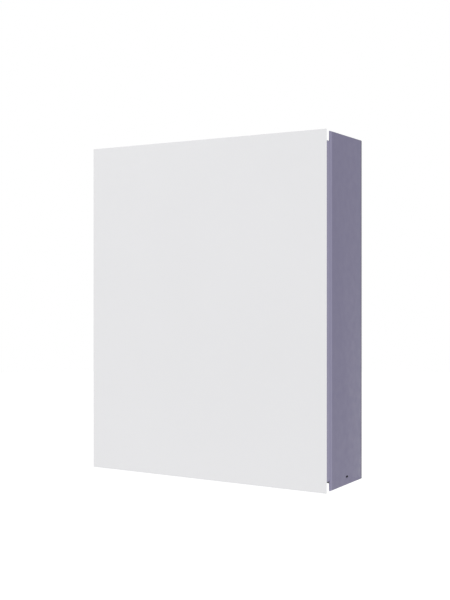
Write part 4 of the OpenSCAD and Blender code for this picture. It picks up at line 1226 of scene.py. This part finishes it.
def terminal_parts():
    """Screws and blank marker strips on the terminal blocks."""
    screws, strips = Shape(), Shape()
    lo, hi = box_mm("terminals")
    z = (lo.z + hi.z) / 2
    for i in range(4):
        x = lo.x + 6 + i * 12.5
        for s in SIGNS:
            screws.screw((x, lo.y + 14, z + s * 21), FRONT, 2.7, "slot", 1.4)
        strips.block((x - 4.4, lo.y - 0.5, z - 5), (x + 4.4, lo.y + 0.5, z + 5), 0.3)
    screws.piece("terminal_screws", "bright_steel")
    strips.piece("terminal_markers", "white_plastic")


def breaker():
    """Two moulded poles side by side, each with a stepped nose around the lever's slot."""
    shape, screws, flags = Shape(), Shape(), Shape()
    lo, hi = box_mm("breaker_body")
    x, z = middle_xz(lo, hi)
    step = hi.y - 44
    for s in SIGNS:
        a, b = span(x, s, 0.08, 18)
        shape.block((a, step, lo.z), (b, hi.y, hi.z), 0.7)
        shape.block((a, lo.y, z + 9), (b, step + 1, z + 23), 0.7)
        shape.block((a, lo.y, z - 23), (b, step + 1, z - 9), 0.7)
        c, d = span(x, s, 15.5, 18)
        shape.block((c, lo.y, z - 10), (d, step + 1, z + 10), 0.5)
        e, f = span(x, s, 0.08, 17.5)
        shape.block((e, lo.y + 8, z - 9.5), (f, step + 1, z + 9.5), 0.2)
        for t in SIGNS:
            at = (x + s * 9, step, z + t * 33)
            shape.ring(at, FRONT, 3.5, 4.6, 0.5)
            screws.screw(at, FRONT, 3.2, "cross", 0.8)
        flags.block((x + s * 9 - 3, lo.y - 0.2, z - 19), (x + s * 9 + 3, lo.y + 0.4, z - 15), 0.2)
    shape.piece("breaker_poles", "white_plastic", replaces=["breaker_body"])
    screws.piece("breaker_screws", "bright_steel")
    flags.piece("breaker_flags", "red_plastic")


def isolator_marks():
    """Corner screws, a raised bar where the pointer rests and a ring a quarter turn clockwise."""
    screws, marks = Shape(), Shape()
    lo, hi = box_mm("isolator_body")
    x, z = middle_xz(lo, hi)
    face = lo.y
    for sx, sz in CORNERS:
        screws.screw((x + sx * 30, face, z + sz * 30), FRONT, 2.8, high=1.6)
    marks.block((x + 28, face - 0.3, z - 0.6), (x + 33, face, z + 0.6), 0.1)
    marks.ring((x, face, z - 30), FRONT, 1.9, 2.7, 0.3)
    for k in range(1, 6):
        a = radians(15 * k)
        turn = Matrix.Rotation(a, 3, "Y")
        at = Vector((x + 28 * cos(a), face - 0.15, z - 28 * sin(a)))
        marks.block(at - Vector((1.2, 0.15, 0.25)), at + Vector((1.2, 0.15, 0.25)), 0.08, turn)
    screws.piece("isolator_screws", "bright_steel")
    marks.piece("isolator_marks", "white_plastic")


def knob():
    """A round base with finger scallops, and a waisted grip with a pale pointer."""
    shape, pointer = Shape(), Shape()
    lo, hi = box_mm("isolator_knob")
    x, z = middle_xz(lo, hi)
    shape.turned((x, hi.y, z), FRONT, [
        (22.6, 0), (23.1, 0.5, "fluted"), (23.1, 3.6, "fluted"), (22.2, 5.2), (20.6, 6), (12, 6.2),
    ], 96)
    base = hi.y - 5.8
    shape.facing(x, z, [
        (base, 46, 15, 7.5), (base - 1.2, 45.6, 13, 6.5), (base - 8, 44, 11.4, 5.7),
        (lo.y + 2, 45, 12.6, 6.3), (lo.y + 0.6, 44.2, 11.8, 5.9), (lo.y, 42, 9.6, 4.8),
    ])
    pointer.block((x + 12, lo.y - 0.25, z - 0.8), (x + 20, lo.y + 0.6, z + 0.8), 0.2)
    shape.piece("knob_grip", "red_plastic", "isolator_knob", ["isolator_knob"])
    pointer.piece("knob_pointer", "white_plastic", "isolator_knob")


def hood_studs():
    """Welded studs with flange nuts, and the four guide tongues."""
    shape = Shape()
    top = box_mm("hood_fittings")[1]
    face = box_mm("front_panel")[1].y
    for x in (-200, 0, 200):
        for z in (-280, 0, 280):
            if x or z:
                shape.turned((x, face, z), FRONT, [(7.4, -0.1), (8, 0.4), (8, 1.8)], 32)
                shape.thread((x, face, z), BACK, 2.5, 0, 10, 0.8)
                shape.ring((x, face + 1.5, z), BACK, 2.2, 6.0, 0.7)
                shape.nut((x, face + 1.5, z), BACK, 4.6, 4)
    for sx, sz in CORNERS:
        a, b = span(0, sx, 75, 105)
        c, d = span(0, sz, top.z - 1.5, top.z)
        shape.block((a, face + 1.5, c), (b, top.y, d), 0.4)
    shape.piece("studs_and_tongues", "bright_steel", "hood", ["hood_fittings"])


TIES = (
    ((70, PLUG_Y, -198.7), (0.51, 0, 0.86), 4.0), ((160, -141.5, -185), (0, 0, 1), 4.0),
    ((118, PLUG_Y, -64.4), (1, 0, 0), 4.0), ((-60, -138, 288.4), (1, 0, 0), 1.6),
    ((60, -135.8, 283), (1, 0, 0), 1.6), ((124.6, -156, -70), (0, 0, 1), 1.6),
    ((247, -69, -30), (0, 0, 1), 2.2),
)


def cable_ties():
    """Thin straps with a square head, round the cables' free runs."""
    shape = Shape()
    for at, along, r in TIES:
        at = Vector(at)
        shape.ring(at - Vector(along) * 1.2, along, r * 0.95, r + 0.8, 2.4)
        shape.block(at + Vector((-1.8, -r - 2.2, -1.8)), at + Vector((1.8, -r, 1.8)), 0.4)
    shape.piece("cable_ties", "black_plastic")


def build():
    dress_nodes()
    for node in CABLES:
        smooth_cable(node)
    for which in MODULES:
        cells(which)
        busbars(which)
    for side in SIDES:
        fan_rotor(side)
    for make in (
        rivets, pan_screws, rubber_parts, cable_glands, stud, rocker_marks, button, fan_labels,
        cell_boards, cover_screws, power_sockets, power_plugs, data_plugs, port_contacts,
        power_electronics, chokes, transformer, capacitors, boxed_parts, control_electronics,
        hex_posts, transistor_clips, terminal_parts, breaker, isolator_marks, knob, hood_studs,
        cable_ties,
    ):
        make()


build()


# ---- Stage, camera and light ----

FLOOR_Z = -1800
FLOOR_RADIUS = 20000
AIM = Vector((0, -0.1, 0))
LAMPS = (
    ("key", (-3.4, -4.6, 2.0), 2.0, 34), ("side", (3.6, -0.6, 1.2), 1.6, 17),
    ("top", (0.6, -1.2, 4.5), 1.6, 30), ("back", (-2.4, 3.6, 1.8), 1.6, 36),
)


def stage_floor():
    """A broad pale floor, well below the unit."""
    shape = Shape()
    shape.turned((0, 0, FLOOR_Z), DOWN, [(FLOOR_RADIUS, 0), (FLOOR_RADIUS, 5)], 64)
    m = new_material("stage_white", (0.93, 0.93, 0.93), 0.9)
    set_shader(m, {"Emission Color": (1, 1, 1, 1), "Emission Strength": 0.30})
    obj = shape.bake("stage_floor", m)


def area_light(name, at, size, watts):
    """A square lamp, in metres, that faces the unit."""
    data = bpy.data.lights.new(name, "AREA")
    data.shape = "SQUARE"
    data.size = size
    data.energy = watts
    obj = add_object(name, data)
    obj.location = at
    obj.rotation_euler = (AIM - Vector(at)).to_track_quat("-Z", "Y").to_euler()


def camera():
    """A level camera at the front right, about level with the middle of the unit."""
    data = bpy.data.cameras.new("camera")
    data.sensor_width = 36
    data.lens = 60.38
    data.shift_y = -0.0217
    obj = add_object("camera", data)
    obj.location = (1.0925, -1.9137, 0.0458)
    obj.rotation_euler = (radians(90), 0, radians(30.98))
    bpy.context.scene.camera = obj


def studio():
    """White surroundings: seen pure white, and a little dimmer as light."""
    world = bpy.data.worlds.new("studio")
    world.use_nodes = True
    tree = world.node_tree
    light = tree.nodes["Background"]
    light.inputs["Color"].default_value = (1, 1, 1, 1)
    light.inputs["Strength"].default_value = 0.80
    seen = tree.nodes.new("ShaderNodeBackground")
    seen.inputs["Color"].default_value = (1, 1, 1, 1)
    path = tree.nodes.new("ShaderNodeLightPath")
    mix = tree.nodes.new("ShaderNodeMixShader")
    tree.links.new(path.outputs["Is Camera Ray"], mix.inputs["Fac"])
    tree.links.new(light.outputs["Background"], mix.inputs[1])
    tree.links.new(seen.outputs["Background"], mix.inputs[2])
    tree.links.new(mix.outputs["Shader"], tree.nodes["World Output"].inputs["Surface"])
    bpy.context.scene.world = world
    for lamp in LAMPS:
        area_light(*lamp)


stage_floor()
camera()
studio()
bpy.context.scene.view_settings.view_transform = "Standard"
